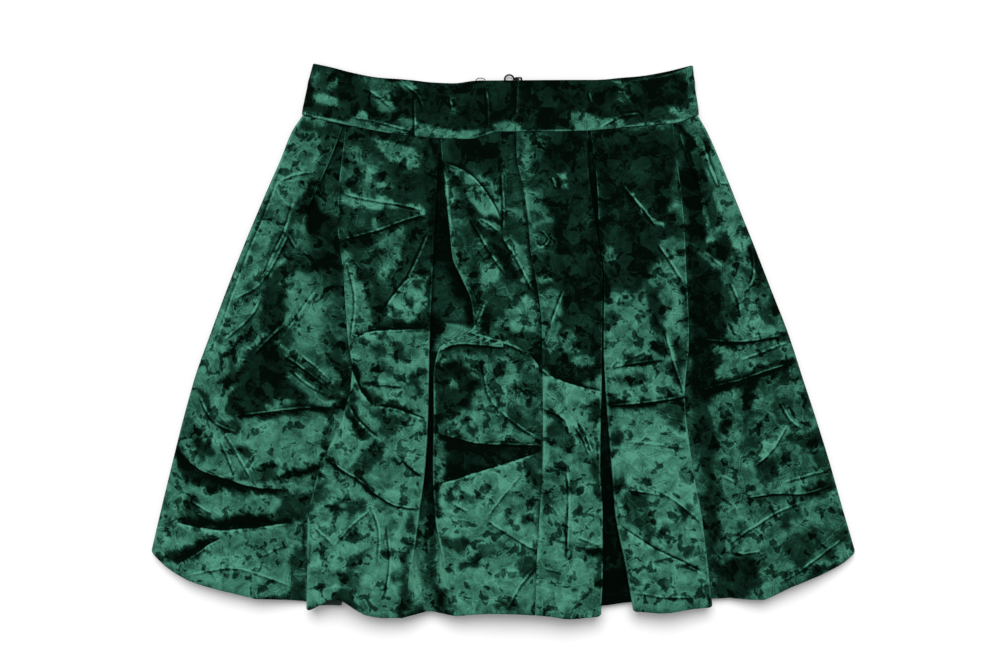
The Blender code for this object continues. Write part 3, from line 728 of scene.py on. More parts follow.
    (0.6,2.5,-45,-67,15,10,32,-1,2,-22,-46,1),
    (0.75,1.7,-23,-46,14,1,5,-15,-7,-15,-10,3),
    (-0.6,2.5,3,-51,13,0,5,-26,-15,-2),
    (-0.8,1.7,-36,-65,6,1,0,-5,-5,0),
    (-0.7,1.7,-30,-70,8,-1,-2,-7,-6,3),
    (-0.35,3.4,13,-17,18,-16,0,-47,-15,5,-1,25),
    (0.65,1.7,-58,-122,42,13,31,9,16,7,0,-93,-4,-49,-95,-2,4,85),
    (-0.9,1,-57,-77,34,-7,54,-3,0,-5,-16,-7,-31,-9,-41,-13),
    (0.35,2.1,-58,-82,8,-3,2,-11,-5,-13,3,-10,-8,-2),
    (-0.8,1.3,-50,-126,7,1,1,-7,-6,-1),
    (-0.8,1.3,-29,-125,6,1,1,-6,-6,-1),
    (-0.8,1.3,-1,-144,6,1,2,-6,-7,0),
    (-0.7,1.7,15,-145,8,2,2,-9,-9,-1),
    (-0.7,1.7,-50,-164,14,4,10,-9,-12,-10,-10,6),
    (-0.75,1.7,-39,-186,13,7,15,4,-2,-6,-13,-6,-10,-4),
    (-0.65,2.5,17,-99,14,5,0,-29,-9,-2),
    (-0.9,1.7,-62,-123,8,0,2,-29,-8,-1),
    (-0.6,1.7,-11,-220,15,4,8,-5,-16,-4),
    (-0.75,3.4,-60,-208,17,2,3,-19,-15,-5),
    (-0.5,3.4,-64,-123,6,0,2,-63,-8,-17),
    (-1.1,0.7,-57,170,2,-7,3,-13,1,-21,2,-21,2,-30,-11,0,-1,30,1,21),
    (-0.5,2.5,-39,-128,13,2,0,-13,-10,-1),
    (-0.55,2.5,11,-182,14,1,0,-15,-12,-2),
    (-0.5,2.5,-23,-169,10,2,0,-12,-8,-2),
    # Middle, right of the seam
    (-0.8,2.5,12,180,60,0,7,-77,5,-68,0,-78,-27,5,-19,10,-13,11,9,14,-4,38,-8,68,-7,43),
    (0.1,3.4,14,175,19,0,1,-21,-11,-12,-7,4),
    (0.5,2.5,16,127,15,0,2,-20,-13,-4),
    (-0.15,3.4,20,98,20,0,4,-22,-17,-5,-6,15),
    (0.55,1.7,21,103,17,2,0,-7,-13,-2),
    (0.75,0.8,39,140,3,-1,3,-8,-2,0),
    (0.5,1.3,48,141,4,0,-2,-10,-2,1),
    (0.6,1.7,29,55,9,1,1,-7,-8,-1),
    (0.35,2.5,31,42,21,2,-5,-16,-7,-18,-6,-7),
    (0.3,2.5,47,6,12,2,0,-15,-12,-2),
    (0.7,1,44,42,6,0,-5,-17,-6,-11,1,14),
    (0.5,1.3,31,14,18,0,-9,-27,-3,4),
    (0.3,2.5,54,-11,20,-2,-3,-9,-16,1),
    (0.7,1,31,-28,21,-8,32,-7,0,-32,-53,0),
    (-0.4,2.5,34,-34,15,-6,3,-10,-12,2),
    (0.6,1.3,69,-36,10,7,5,-1,0,-13,-10,3),
    (0.5,2.5,31,-74,53,0,2,-112,0,-49,-59,0,4,49),
    (-0.85,1.3,33,-56,17,-10,5,-14,-8,-2,-13,15),
    (-0.5,1.7,37,-67,15,-8,5,-19,-13,5,-11,5),
    (-0.9,0.8,61,-66,7,-11,6,-18,-5,5,-8,15),
    (-0.6,2.1,72,-50,10,2,1,-19,-11,2),
    (-0.1,3.4,33,-111,14,2,5,-26,-17,-4),
    (-0.85,1.7,54,-119,5,0,-1,-7,-4,1),
    (-0.8,1.7,73,-119,9,3,1,-19,-7,2),
    (-0.5,2.5,72,-97,11,0,0,-21,-7,-1),
    (0.8,2.5,37,-152,11,0,0,-15,-10,-2),
    (-0.9,1.3,64,-176,19,1,0,-7,-16,1),
    (-0.7,1.7,74,-182,9,0,1,-26,-8,4),
    (-0.8,0.8,52,-137,2,0,0,-44,-3,0),
    (-0.6,1.7,56,-207,8,-3,-2,-3,-7,2),
    # Right box pleat
    (-0.85,3.4,74,180,71,0,7,-94,-15,-8,-22,-34,-29,-9,-2,43),
    (-0.15,2.5,142,154,6,-1,4,-54,-8,1),
    (0,2.5,138,115,9,2,1,-15,-9,-2),
    (0.9,0.7,107,122,3,0,8,-11,-1,-1),
    (0.9,0.6,125,102,2,-1,4,-5,-2,0),
    (0.3,2.5,84,83,7,-2,1,-15,-6,-2),
    (0.55,3.4,85,38,17,6,21,-5,33,5,1,-96,-71,-2),
    (0.15,2.5,132,81,7,7,13,-3,3,-41,-35,0,2,20,13,2),
    (-0.65,2.5,120,47,12,-2,3,-42,-12,0),
    (-0.7,1.7,91,46,12,1,-1,-8,-9,0),
    (0.6,2.5,135,45,10,0,1,-32,-9,-2),
    (-0.35,2.5,147,49,9,0,0,-38,-7,0),
    (-0.15,2.5,139,8,15,3,0,-52,-5,0),
    (-0.6,2.1,85,24,7,0,2,-13,-8,-2),
    (0.7,1.7,84,36,16,0,0,-8,-14,-1),
    (-0.6,1.7,86,-43,9,-1,0,-9,-9,0),
    (0.85,2.5,120,-28,14,2,1,-18,-13,-1),
    (-0.9,1.7,124,-2,10,2,5,-6,-11,-3),
    (-0.6,2.1,103,-14,19,3,1,-6,-17,-6),
    (-0.4,2.5,91,-29,31,3,1,-10,-28,-2),
    (-0.8,1.7,139,-17,9,1,3,-22,-9,-2),
    (0.65,3.4,86,-56,68,8,8,-70,8,-109,-59,-8,-13,83),
    (-1,1,86,-51,32,2,36,4,0,-3,-36,-6,-32,-2),
    (-0.5,4.2,123,-54,30,3,1,-21,-19,2),
    (-0.8,1.7,88,-77,8,2,5,-7,-6,-4,-6,1),
    (-0.8,1.7,88,-91,7,0,-1,-6,-5,0),
    (-0.8,1.7,91,-116,10,1,0,-8,-8,-1),
    (-0.8,1.3,118,-115,5,1,0,-7,-5,-1),
    (-0.55,3.4,100,-126,20,0,3,-26,-8,-9,-14,9),
    (-0.4,2.5,145,-136,12,1,0,-13,-10,-1),
    (0.85,2.5,146,-169,20,0,0,-17,-17,0),
    (-0.75,1.7,115,-158,11,1,0,-11,-9,0),
    (0.9,2.5,100,-194,13,1,0,-13,-12,-2),
    (0.9,2.5,125,-194,14,1,0,-13,-12,-2),
    (-0.6,1.7,129,-158,8,2,0,-9,-7,-1),
    (-0.7,1.3,105,-70,7,2,0,-5,-6,-1),
    (-0.6,1.7,98,-159,5,0,2,-10,-5,0),
    (0.85,1.7,125,-36,14,1,1,-10,-13,-1),
    # Right panel
    (-1.1,0.7,70,176,3,-13,4,-26,3,-29,3,-30,1,-39,-2,0,-4,39,-4,30,-2,29,-3,26),
    (0.15,4.2,156,192,24,0,52,-114,34,-94,34,-102,19,-69,-60,-41,-83,-2,-6,44,-13,136,-5,136),
    (-1,1.7,146,181,6,0,9,-27,5,-25,8,-38,6,-22,7,-59,-12,-67,-17,0,-2,67,-2,76,-3,60),
    (0.35,2.5,149,182,17,3,5,-14,-7,-13,-8,12),
    (-0.8,1.7,166,173,8,0,-1,-13,-6,1),
    (-0.65,2.5,161,163,10,-7,6,-27,4,-31,-8,-5,-5,22),
    (0.5,2.5,176,154,10,-5,12,-32,-5,-9,-12,4,-4,8),
    (0.5,1.3,172,94,8,2,4,-8,-9,-6),
    (-0.8,2.5,169,86,11,-5,11,12,6,-15,-4,-16,-13,4,-9,8),
    (-0.2,1.7,155,85,11,-6,15,-13,-3,-4,-21,12),
    (0.1,1.7,181,64,10,4,7,-16,-13,-1),
    (-0.95,1.7,169,81,16,-2,1,-12,-12,-2),
    (0.75,2.5,193,90,12,-4,1,-22,-8,-2,-6,9),
    (-0.85,1.7,205,79,5,-11,0,-21,12,2,-5,19,-7,15),
    (-0.6,2.5,182,49,9,0,7,-32,-13,-2),
    (0.35,3.4,200,44,30,1,11,-35,-33,-4),
    (-0.8,1.7,227,39,5,-7,-1,-9,-6,7),
    (-0.6,2.5,213,33,12,1,4,-20,-12,-2),
    (0.5,2.5,176,0,15,0,1,-10,-14,-1),
    (0.3,3.4,207,-9,24,6,10,-4,-21,-10,-13,-4),
    (0.6,2.5,234,-14,14,3,1,-8,-12,-7),
    (0.5,1.7,178,-26,7,10,5,-13,-10,-5),
    (-0.8,0.8,185,0,17,-1,38,6,1,-2,-39,-7,-17,2),
    (-1,1,158,-45,17,10,25,7,22,7,24,8,2,-7,-24,-10,-22,-9,-27,-10,-16,-7),
    (-0.55,3.4,197,-33,14,-1,-1,-26,-7,-10,-5,20),
    (-0.7,2.5,248,-41,10,1,1,-15,-10,-2),
    (-0.7,2.5,229,-23,10,-3,2,-8,-9,1),
    (-0.9,1.7,181,-68,8,1,2,-9,-8,-1),
    (-0.9,1.7,159,-51,16,-2,1,-16,-12,-1),
    (-0.5,2.5,198,-82,21,2,0,-13,-17,-2),
    (-0.45,2.5,227,-48,15,2,2,-23,-13,-2),
    (-0.65,2.5,171,-152,12,2,5,-20,-12,-3),
    (0.6,2.5,187,-142,11,0,0,-13,-9,0),
    (0.6,2.5,186,-79,12,1,2,-13,-12,-1),
    (0.5,2.5,236,-93,15,0,2,-14,-16,0),
    (-0.8,2.1,229,-80,22,3,21,-2,3,-10,-19,0,-14,4,-11,-2),
    (-0.6,2.5,254,-92,19,0,3,-14,-15,0),
    (-0.7,2.5,211,-101,14,4,6,-14,-11,-9,-7,4),
    (0.6,1.3,214,-96,6,12,17,17,3,-3,-9,-19,-12,-13),
    (-1,1,249,-125,16,3,13,4,2,-4,-14,-5,-16,-3),
    (-0.8,2.5,231,-147,10,2,1,-10,-8,-2),
    (-0.6,2.5,237,-167,12,8,12,0,5,-14,-3,-13,-15,-9,-10,11),
    (-0.75,3.4,158,-53,17,0,4,-31,-1,-34,5,-47,-10,-21,-3,34,-7,60),
    (0.35,2.5,237,-196,28,14,28,15,6,-19,-48,-22,-20,2),
    (-0.7,2.1,256,-195,20,9,4,-7,-24,-10),
    (0.7,2.5,217,-168,14,0,1,-13,-13,-2),
    (-0.8,2.5,175,-184,29,2,12,-9,-2,-17,-24,-7,-13,4),
    (-0.7,2.5,178,-123,7,5,3,-17,-5,-8,-4,8),
    (-0.7,1.7,270,-176,12,2,-2,-8,-9,0),
    (-0.6,2.5,273,-109,5,0,4,-17,-7,0),
    (-0.8,1.3,176,-220,15,3,19,4,-10,3),
)
# Nap of the band, with painted sheen and painted highlights, painted one over the other
BAND_NAP_AND_PAINTED_LIGHT = read_patches(
    (-0.9,1.7,-178,239,348,0,0,-72,-348,0),
    (-0.35,2.5,-166,229,17,2,7,-10,-3,-9,-19,0),
    (0.65,1.7,-162,209,9,1,13,-5,-2,-6,-10,1,-10,3),
    (0.6,1.3,-149,221,6,1,0,-8,-6,0),
    (0.75,1.3,-172,194,8,-1,15,-4,15,-4,0,-5,-19,3,-19,6),
    (0.7,1.7,-126,193,6,3,6,-5,-2,-4,-9,0),
    (0,2.5,-123,223,17,1,17,-5,-2,-5,-22,1),
    (0.15,2.5,-114,215,18,-1,5,-19,-15,-2,-7,11),
    (0.6,1.7,-109,205,11,1,6,-8,-12,-4),
    (0.1,1.7,-135,183,46,-7,12,-2,0,3,-29,8,-24,5),
    (0.2,1.7,-91,189,14,-2,0,-13,-8,3),
    (0.65,1.3,-77,187,13,-4,17,-4,16,-4,-2,-5,-31,0,-13,2),
    (-1.05,3.4,-70,217,51,0,0,-27,-45,-2),
    (-1,3.4,13,219,78,0,0,-17,-78,0),
    (0,2.5,-47,208,6,-2,0,-14,-6,1),
    (0.5,1.7,-9,183,9,4,13,-2,0,-9,-19,0),
    (0.55,1.3,-91,222,10,0,7,-8,-12,-2),
    (0.5,1.3,-38,179,17,0,0,-7,-15,-1),
    (0.35,1.7,54,193,14,2,11,-7,0,-11,-22,0),
    (0.2,1.7,79,188,21,1,3,-7,-22,-4),
    (0.55,0.8,111,184,30,3,22,4,-14,-8,-34,-3),
    (0.15,1.7,136,200,21,-4,6,-6,-14,-2,-10,7),
    (0,2.5,111,229,48,5,0,-5,-44,-7),
    (-0.1,3.4,95,219,11,0,2,-17,-12,0),
    (0.4,1.7,153,238,13,0,3,-50,-12,4),
    (0.3,0.8,111,223,48,9,0,-3,-47,-8),
)

# How much of the painted shade deep in the pleats a place keeps
PLEAT_SHADE_KEPT = read_patches(
    (0.45,2.5,-64,64,14,4,9,-24,10,-27,-31,-2),
    (0.1,1.3,-59,-9,1,20,8,4,27,-1,-7,-6,-24,-15),
)

# Creases of the back
CREASES = read_creases(
    # Left panel
    (LIP,2.2,7,4,-230,-63,24,3,23,3,35,2,15,2),
    (LIP,3.2,10,5,-281,-84,12,-15,14,-10,20,-6,22,-7,30,-3),
    (LIP,2,6,3,-188,-115,17,5,17,8),
    (LIP,3,9,7,-166,-152,-21,-3,-19,-2,-32,-3,-25,3,-20,4),
    (LIP,2.2,8,5,-236,-165,-13,-7,-10,-7,-19,-11),
    (RIDGE,1.2,3,0,-212,-11,17,17,10,9),
    (RIDGE,1,3,0,-192,135,15,6,16,2),
    (RIDGE,1.3,2.6,0,-190,-9,20,-14,21,-17,17,-15),
    (RIDGE,1.2,2.4,0,-182,-23,18,-15,31,-16),
    (RIDGE,1.2,2.6,0,-174,-10,21,-18,21,-25),
    (TROUGH,1.6,5,0,-186,-12,22,-19,29,-20),
    (RIDGE,0.8,2.5,0,-240,-82,15,-34),
    (RIDGE,0.8,2.5,0,-237,-75,24,-41),
    (RIDGE,0.9,3,0,-234,34,28,15,23,41,2,3),
    (RIDGE,0.8,2.5,0,-183,90,7,-12),
    (RIDGE,1.1,2.5,0,-146,64,-14,-20,-16,-24,-12,-17),
    (RIDGE,0.7,2.5,0,-188,146,-15,-38,-19,-46,-15,-42,-15,-41),
    (RIDGE,0.7,2.5,0,-177,124,-9,-31,-12,-25,-8,-24),
    (RIDGE,0.9,3,0,-239,0,22,18,11,17),
    (RIDGE,0.9,3,0,-259,-45,13,-22,21,-10),
    (RIDGE,0.8,3,0,-265,-135,19,-10),
    (TROUGH,1.5,8,0,-174,116,15,-17,16,-21),
    (RIDGE,0.8,3,0,-206,-182,19,9,15,-3),
    (RIDGE,0.9,3,0,-272,-198,47,7,51,-19),
    # Left box pleat
    (LIP,2,8,5,-64,10,-25,-1,-24,-2,-19,-8),
    (LIP,1.8,6,4,-139,86,18,4,17,5,18,7,23,7),
    (RIDGE,1.5,2.6,0,-140,126,22,-6,31,-5,24,-6),
    (LIP,1.8,6,3,-152,-97,19,-13,9,-5,19,-15,16,-8,23,-3),
    (LIP,1.6,6,1.5,-66,-67,-13,5,-14,5,-16,2),
    (LIP,2,6,5,-109,-55,-7,5,-7,10,-7,19,-6,20),
    (LIP,1.6,5,4,-104,-83,-9,6,-12,12,-7,12),
    (RIDGE,1.4,3,0,-75,59,-14,-15,-14,-20),
    (RIDGE,1,2.5,0,-64,93,-13,-31,-8,-14),
    (RIDGE,1,3,0,-133,68,7,-33,-4,-37),
    (RIDGE,0.8,2.5,0,-111,-140,6,-20,-1,-27),
    (RIDGE,0.9,3,0,-145,-173,19,21,15,12),
    (RIDGE,0.8,2.5,0,-113,-36,27,-2),
    (LIP,1,4,2,-87,-98,12,-11,6,-4),
    (RIDGE,0.8,3,0,-161,-155,16,-14),
    (RIDGE,0.8,3,0,-99,-152,3,-34,-5,-34),
    (TROUGH,1.2,6,0,-136,154,30,-34,34,9),
    # Middle, left of the seam
    (LIP,2.2,9,7,-58,-9,17,7,23,-1,24,-2),
    (RIDGE,1.8,4,0,-60,13,15,-1,22,-7,27,-8,16,-8),
    (LIP,2.2,9,5,31,-26,-6,9,-5,6),
    (LIP,3,10,8,-57,-77,34,-8,29,-1,25,-1),
    (LIP,2.2,9,5,31,-93,-19,-7,-26,-8,-44,-14),
    (LIP,1.8,6,3,-2,100,-14,25,-16,17,-20,9),
    (RIDGE,1.1,2.5,0,-30,105,9,-15,10,-17,12,-17),
    (RIDGE,1.3,2.4,0,-52,150,3,-21,2,-21,2,-26),
    (RIDGE,1.1,2.5,0,-3,89,11,-16,10,-19,6,-12),
    (RIDGE,0.8,2.5,0,-22,104,9,-5,9,-7),
    (RIDGE,1,2.5,0,-3,144,2,-28,0,-24),
    (RIDGE,1.3,2.5,0,-16,34,-5,-14,-5,-10),
    (RIDGE,0.8,2.5,0,-19,-14,6,-32,17,-19,27,-19),
    (RIDGE,0.8,2.5,0,11,-36,10,-10),
    (RIDGE,0.9,2.5,0,-16,-149,20,-13,24,-14),
    (RIDGE,0.9,2.5,0,2,-224,11,20,14,16),
    (RIDGE,0.8,2.5,0,-16,-149,14,19,18,21),
    (RIDGE,0.8,2.5,0,-45,-135,15,-8),
    # Middle, right of the seam
    (LIP,2.2,9,5,84,-44,-24,6,-15,5,-12,6),
    (RIDGE,1.2,2.2,0,23,-16,7,-7,8,-5),
    (RIDGE,1.6,3,0,33,-56,17,-9,5,-15),
    (RIDGE,1.2,2.5,0,61,-66,7,-13,6,-17),
    (RIDGE,1,2.5,0,57,-68,9,-14,6,-15),
    (RIDGE,1.2,2.2,0,50,44,-6,-16,-5,-14),
    (RIDGE,1,2.5,0,39,140,5,-9),
    (RIDGE,0.7,2.5,0,33,-190,16,-4),
    (RIDGE,0.7,2.5,0,61,-164,20,-8),
    (RIDGE,0.9,2.5,0,27,95,7,-4,3,-6,-7,-6,-5,6),
    (TROUGH,1.4,8,0,47,171,5,-85,8,-102),
    (RIDGE,0.8,3,0,52,-101,2,-34,-2,-51),
    # Right box pleat
    (LIP,2.4,8,5,86,-54,32,3,36,5),
    (LIP,1.2,4,2,86,-23,19,4,30,4),
    (RIDGE,1.4,2.5,0,100,132,9,-11,9,-10,11,-15),
    (RIDGE,1.2,2.5,0,129,83,13,-19,10,-17),
    (LIP,1.2,5,2,169,-197,-20,11,-26,13,-28,18),
    (RIDGE,0.9,2.5,0,118,-121,21,-10,18,-14,9,-8),
    (RIDGE,0.9,2.5,0,135,10,7,-26,10,-30),
    (RIDGE,0.8,2.5,0,102,-125,13,-1,24,-4),
    (RIDGE,0.7,2.5,0,98,-84,25,-2,31,-4),
    (TROUGH,1,9,0,115,163,5,-34,-5,-60),
    (RIDGE,0.8,3,0,106,-210,26,-4,27,-1),
    # Right panel
    (LIP,2.6,9,5,157,-48,18,9,25,7,22,8,26,7),
    (LIP,1.6,5,3,159,2,41,-2,40,6),
    (LIP,2.2,8,5,201,-132,28,4,25,0,26,7),
    (RIDGE,1.2,3,0,185,-176,19,16,27,17,20,7),
    (RIDGE,1.2,3,0,210,-106,15,15,14,22),
    (RIDGE,1.2,3,0,230,-204,21,13,39,27),
    (RIDGE,0.6,3,0,152,86,16,-9,17,-15),
    (RIDGE,0.9,2.5,0,171,153,9,-21,-14,39),
    (RIDGE,1,2.5,0,208,83,3,-22,-4,-16),
    (RIDGE,0.9,2.5,0,179,134,12,-2,11,-16),
    (RIDGE,0.9,2.5,0,181,-113,12,-5,5,-5),
    (RIDGE,1,2.5,0,198,-16,19,7,25,9),
    (TROUGH,1.6,8,0,190,44,-2,-43,-3,-34),
    (RIDGE,0.9,3,0,190,51,7,-16,3,-15),
    (RIDGE,0.9,3,0,231,-50,11,-17,11,-7),
    (RIDGE,0.8,3,0,180,-176,20,-3,17,3),
    (RIDGE,0.8,3,0,234,-119,22,6,20,4),
)
BAND_CREASES = read_creases(
    (RIDGE,1,2.5,0,-77,209,1,-21,0,-16),
    (TROUGH,0.9,2.5,0,-22,214,2,-17,1,-16),
    (RIDGE,0.9,2.5,0,-16,215,2,-17,0,-17),
    (TROUGH,0.9,3,0,64,195,0,-15),
    (RIDGE,0.9,3,0,-86,219,12,-10,5,-11),
    (RIDGE,0.8,3,0,71,212,3,-10),
    (RIDGE,0.8,2.5,0,81,181,17,9,17,3),
    (RIDGE,0.9,3,0,-130,190,24,-5,29,-8),
    (RIDGE,0.9,3,0,-122,215,11,-5,15,-12),
    (RIDGE,0.7,3,0,-47,209,3,-14),
)
# fmt: on


# ---------------------------------------------------------------------------------- creases and nap, drawn from the tables

NO_LIP = 9.0  # mm to the nearest line where there is none near
TAPER = 0.16  # share of a crease over which each of its ends fades
LIP_STEP = 1.5  # half the width of a lip's step, mm
LIP_DIP = 0.45  # how wide the dip below a lip is, against its rise
LINE_REACH = 4.5  # mm from a line within which its painted highlight and shade show


class Drawn(NamedTuple):
    """What the creases do at each point: lift in mm, painted shade below a lip, way to the nearest line, and the
    strength of its painted highlight and shade.
    """

    lift: Array
    painted_shade: Array
    lip: Array
    strength: Array


def rounded_line(line: Sequence[Point], pieces: int = 6) -> Array:
    """Rounds a line through its points.

    Args:
        line: The points it goes through.
        pieces: Pieces between two of them.

    Returns:
        The points of the rounded line.
    """
    p = np.asarray(line, float)
    if len(p) < 3:
        return p
    q = np.vstack([2 * p[0] - p[1], p, 2 * p[-1] - p[-2]])
    t = np.linspace(0, 1, pieces, endpoint=False)[:, None]
    parts = []
    for a, b, c, d in zip(q, q[1:], q[2:], q[3:]):
        bend = (2 * a - 5 * b + 4 * c - d) * t**2 + (3 * b - a - 3 * c + d) * t**3
        parts.append(0.5 * (2 * b + (c - a) * t + bend))
    return np.vstack(parts + [p[-1:]])


def along_line(x: Array, y: Array, line: Array) -> tuple[Array, Array]:
    """Measures points against a line.

    Args:
        x: The points' x.
        y: The points' y.
        line: The line's points.

    Returns:
        The way to the line, above 0 on its left, and the share of the way along it.
    """
    starts, ends = line[:-1], line[1:]
    span = ends - starts
    length = np.maximum(np.hypot(span[:, 0], span[:, 1]), 1e-9)
    before = np.concatenate([[0.0], np.cumsum(length)])
    dx, dy = x[:, None] - starts[:, 0], y[:, None] - starts[:, 1]
    t = np.clip((dx * span[:, 0] + dy * span[:, 1]) / length**2, 0, 1)
    away = np.hypot(dx - t * span[:, 0], dy - t * span[:, 1])
    nearest = away.argmin(axis=1)
    pick = np.arange(len(x)), nearest
    side = np.sign(span[nearest, 0] * dy[pick] - span[nearest, 1] * dx[pick])
    share = (before[nearest] + t[pick] * length[nearest]) / before[-1]
    return away[pick] * np.where(side == 0, 1, side), share


def near_line(x: Array, y: Array, line: Array, reach: float) -> Array:
    """Picks the points in the box around a line."""
    low, high = line.min(axis=0) - reach, line.max(axis=0) + reach
    return np.nonzero((x > low[0]) & (x < high[0]) & (y > low[1]) & (y < high[1]))[0]


def bell(way: Array, width: float) -> Array:
    """Falls off softly on both sides of a line."""
    return np.exp(-((way / width) ** 2))


def draw_creases(x: Array, y: Array, creases: Sequence[Crease]) -> Drawn:
    """Draws the creases at the given points.

    Args:
        x: The points' x, mm.
        y: The points' y, mm.
        creases: The creases.

    Returns:
        What they do at each point, in arrays like x.
    """
    shape, x, y = x.shape, x.ravel(), y.ravel()
    lift, painted_shade = np.zeros_like(x), np.zeros_like(x)
    lip, strength = np.full_like(x, NO_LIP), np.zeros_like(x)
    for crease in creases:
        line = rounded_line(crease.line)
        near = near_line(x, y, line, 2.4 * crease.width + crease.shade + 6)
        if not len(near):
            continue
        s, share = along_line(x[near], y[near], line)
        taper = smoothstep(np.minimum(share, 1 - share) / TAPER)
        if crease.fold is Fold.LIP:
            step = 0.5 * (1 + np.tanh(s / LIP_STEP))
            rise = step * bell(s, crease.width) - 0.5 * (1 - step) * bell(s, LIP_DIP * crease.width)
            # painted shade below the lip
            painted_shade[near] = np.maximum(painted_shade[near], taper * (s < 0.6) * bell(s, max(crease.shade, 0.1)))
        else:
            rise = bell(s, crease.width) * (1 if crease.fold is Fold.RIDGE else -1)
        lift[near] += crease.height * rise * taper
        if crease.fold is Fold.TROUGH:
            continue
        # strength of the line's painted highlight and shade
        power = taper * smoothstep((LINE_REACH - np.abs(s)) / 3.5) * min(1.0, 0.35 + crease.height / 2.4)
        closer = power > strength[near]
        lip[near] = np.where(closer, s, lip[near])
        strength[near] = np.maximum(strength[near], power)
    return Drawn(*(values.reshape(shape) for values in (lift, painted_shade, lip, strength)))


def inside_by(x: Array, y: Array, outline_points: Array) -> Array:
    """Measures how far points lie inside an outline.

    Args:
        x: The points' x.
        y: The points' y.
        outline_points: The outline.

    Returns:
        The way in from the outline, below 0 outside it.
    """
    line = np.vstack([outline_points, outline_points[:1]])
    away = np.abs(along_line(x, y, line)[0])
    odd = np.zeros(len(x), bool)
    for (x0, y0), (x1, y1) in zip(line[:-1], line[1:]):
        if y0 != y1:
            crosses = (y0 > y) != (y1 > y)
            odd ^= crosses & (x < (x1 - x0) * (y - y0) / (y1 - y0) + x0)
    return np.where(odd, away, -away)


def paint_patches(x: Array, y: Array, patches: Sequence[Patch], ground: float) -> Array:
    """Paints the patches of nap, one over the other.

    Args:
        x: The points' x, mm.
        y: The points' y, mm.
        patches: The patches in order.
        ground: The tone where there is none.

    Returns:
        The tone at each point, in an array like x.
    """
    shape, x, y = x.shape, x.ravel(), y.ravel()
    tone = np.full_like(x, ground)
    for patch in patches:
        line = np.asarray(patch.line, float)
        soft = max(patch.soft, 1.0)
        near = near_line(x, y, line, soft)
        if len(near):
            cover = smoothstep(0.5 + inside_by(x[near], y[near], line) / (2 * soft))
            tone[near] = mix(tone[near], patch.tone, cover)
    return tone.reshape(shape)


def ripple(x: Array, y: Array, size: float, seed: float, octaves: int = 1) -> Array:
    """Makes an even, smooth ripple.

    Args:
        x: The points' x, mm.
        y: The points' y, mm.
        size: From one swell to the next, mm.
        seed: Sets one ripple apart from another.
        octaves: How many finer ripples it is made of.

    Returns:
        The ripple, from about -1 to 1.
    """
    total = np.zeros(x.size)
    for octave in range(octaves):
        scale, share = 2**octave / size, 0.6**octave
        places = zip(x.ravel() * scale, y.ravel() * scale)
        total += [noise.noise(Vector((a, b, seed + octave))) * share for a, b in places]
    return total.reshape(x.shape) * 1.6


def turned_over(items: Iterable[Union[Patch, Crease]]) -> list[Union[Patch, Crease]]:
    """Turns patches or creases over, for the side that the photo doesn't show.

    Args:
        items: The patches or creases.

    Returns:
        The same, mirrored. A crease is drawn the other way, so that its high side stays high.
    """
    turned = []
    for item in items:
        line = tuple((9.0 - x, y * 0.98 + 4.0) for x, y in item.line)
        turned.append(item._replace(line=line if isinstance(item, Patch) else line[::-1]))
    return turned


# ---------------------------------------------------------------------------------- shells

CUT_DEPTH = 1.3  # the pattern runs this much faster through folds than along the cloth


@dataclass
class Surface:
    """The middle of a piece's wall, in rows from top to bottom and from left to right, mm."""

    points: Array  # rows, columns, 3
    high: Array  # 0 at the floor, 1 at the back's faces
    down: Array  # share of the way down the piece, for each row
    # the nap: the pile's pattern with painted sheen, painted shade and painted highlights, from -1 to 1
    nap: Array
    # way to the nearest crease line, and the strength of its painted highlight and shade
    lip: Array
    strength: Array

    def way_down(self) -> Array:
        """Measures each point's way from the top along the cloth, mm."""
        step = np.linalg.norm(np.diff(self.points, axis=0), axis=2)
        return np.vstack([np.zeros((1, step.shape[1])), np.cumsum(step, axis=0)])

    def way_across(self) -> Array:
        """Measures each point's way from the left end along the cloth, mm."""
        step = np.linalg.norm(np.diff(self.points, axis=1), axis=2)
        return np.hstack([np.zeros((step.shape[0], 1)), np.cumsum(step, axis=1)])


def plain_surface(points: Sequence[Array], high: Sequence[Array], down: Sequence[float]) -> Surface:
    """Makes a surface with no creases or nap yet.

    Args:
        points: Its points, row by row.
        high: How high each of them lies.
        down: The share of the way down of each row.

    Returns:
        The surface.
    """
    zero = np.zeros(np.shape(high))
    return Surface(np.array(points), np.array(high), np.asarray(down), zero, zero + NO_LIP, zero)


def share_across(x: Number, edges: dict[str, Curve], share: float) -> Number:
    """Finds how far across, from the left edge to the right one, a place lies."""
    left, right = edges["left"](share), edges["right"](share)
    return (x - left) / (right - left)


def skirt_surface(section: Section, stations: Sequence[float]) -> Surface:
    """Lays a panel of the skirt.

    Args:
        section: Its section at a share of the way down.
        stations: Where its rows lie.

    Returns:
        Its surface, with no creases or nap yet.
    """
    points, highs = [], []
    for down in stations:
        x, z = np.array(section(down)).T
        across = share_across(x, outline, down)
        high = np.clip(z / face_height(x, down), 0, 1)
        y = mix(waist["y"](across), hem["y"](across), down) + HEM_LIFT * down * (1 - high)
        curl = smoothstep(np.maximum(0.0, 1 - np.abs((x - CURL_X) / CURL_HALF)))
        curl = curl * smoothstep((down - CURL_START) / (1 - CURL_START)) * smoothstep(2 * high - 1)
        points.append(np.stack([x, y + CURL_BACK * curl, z + CURL_UP * curl], axis=1))
        highs.append(high)
    return plain_surface(points, highs, stations)


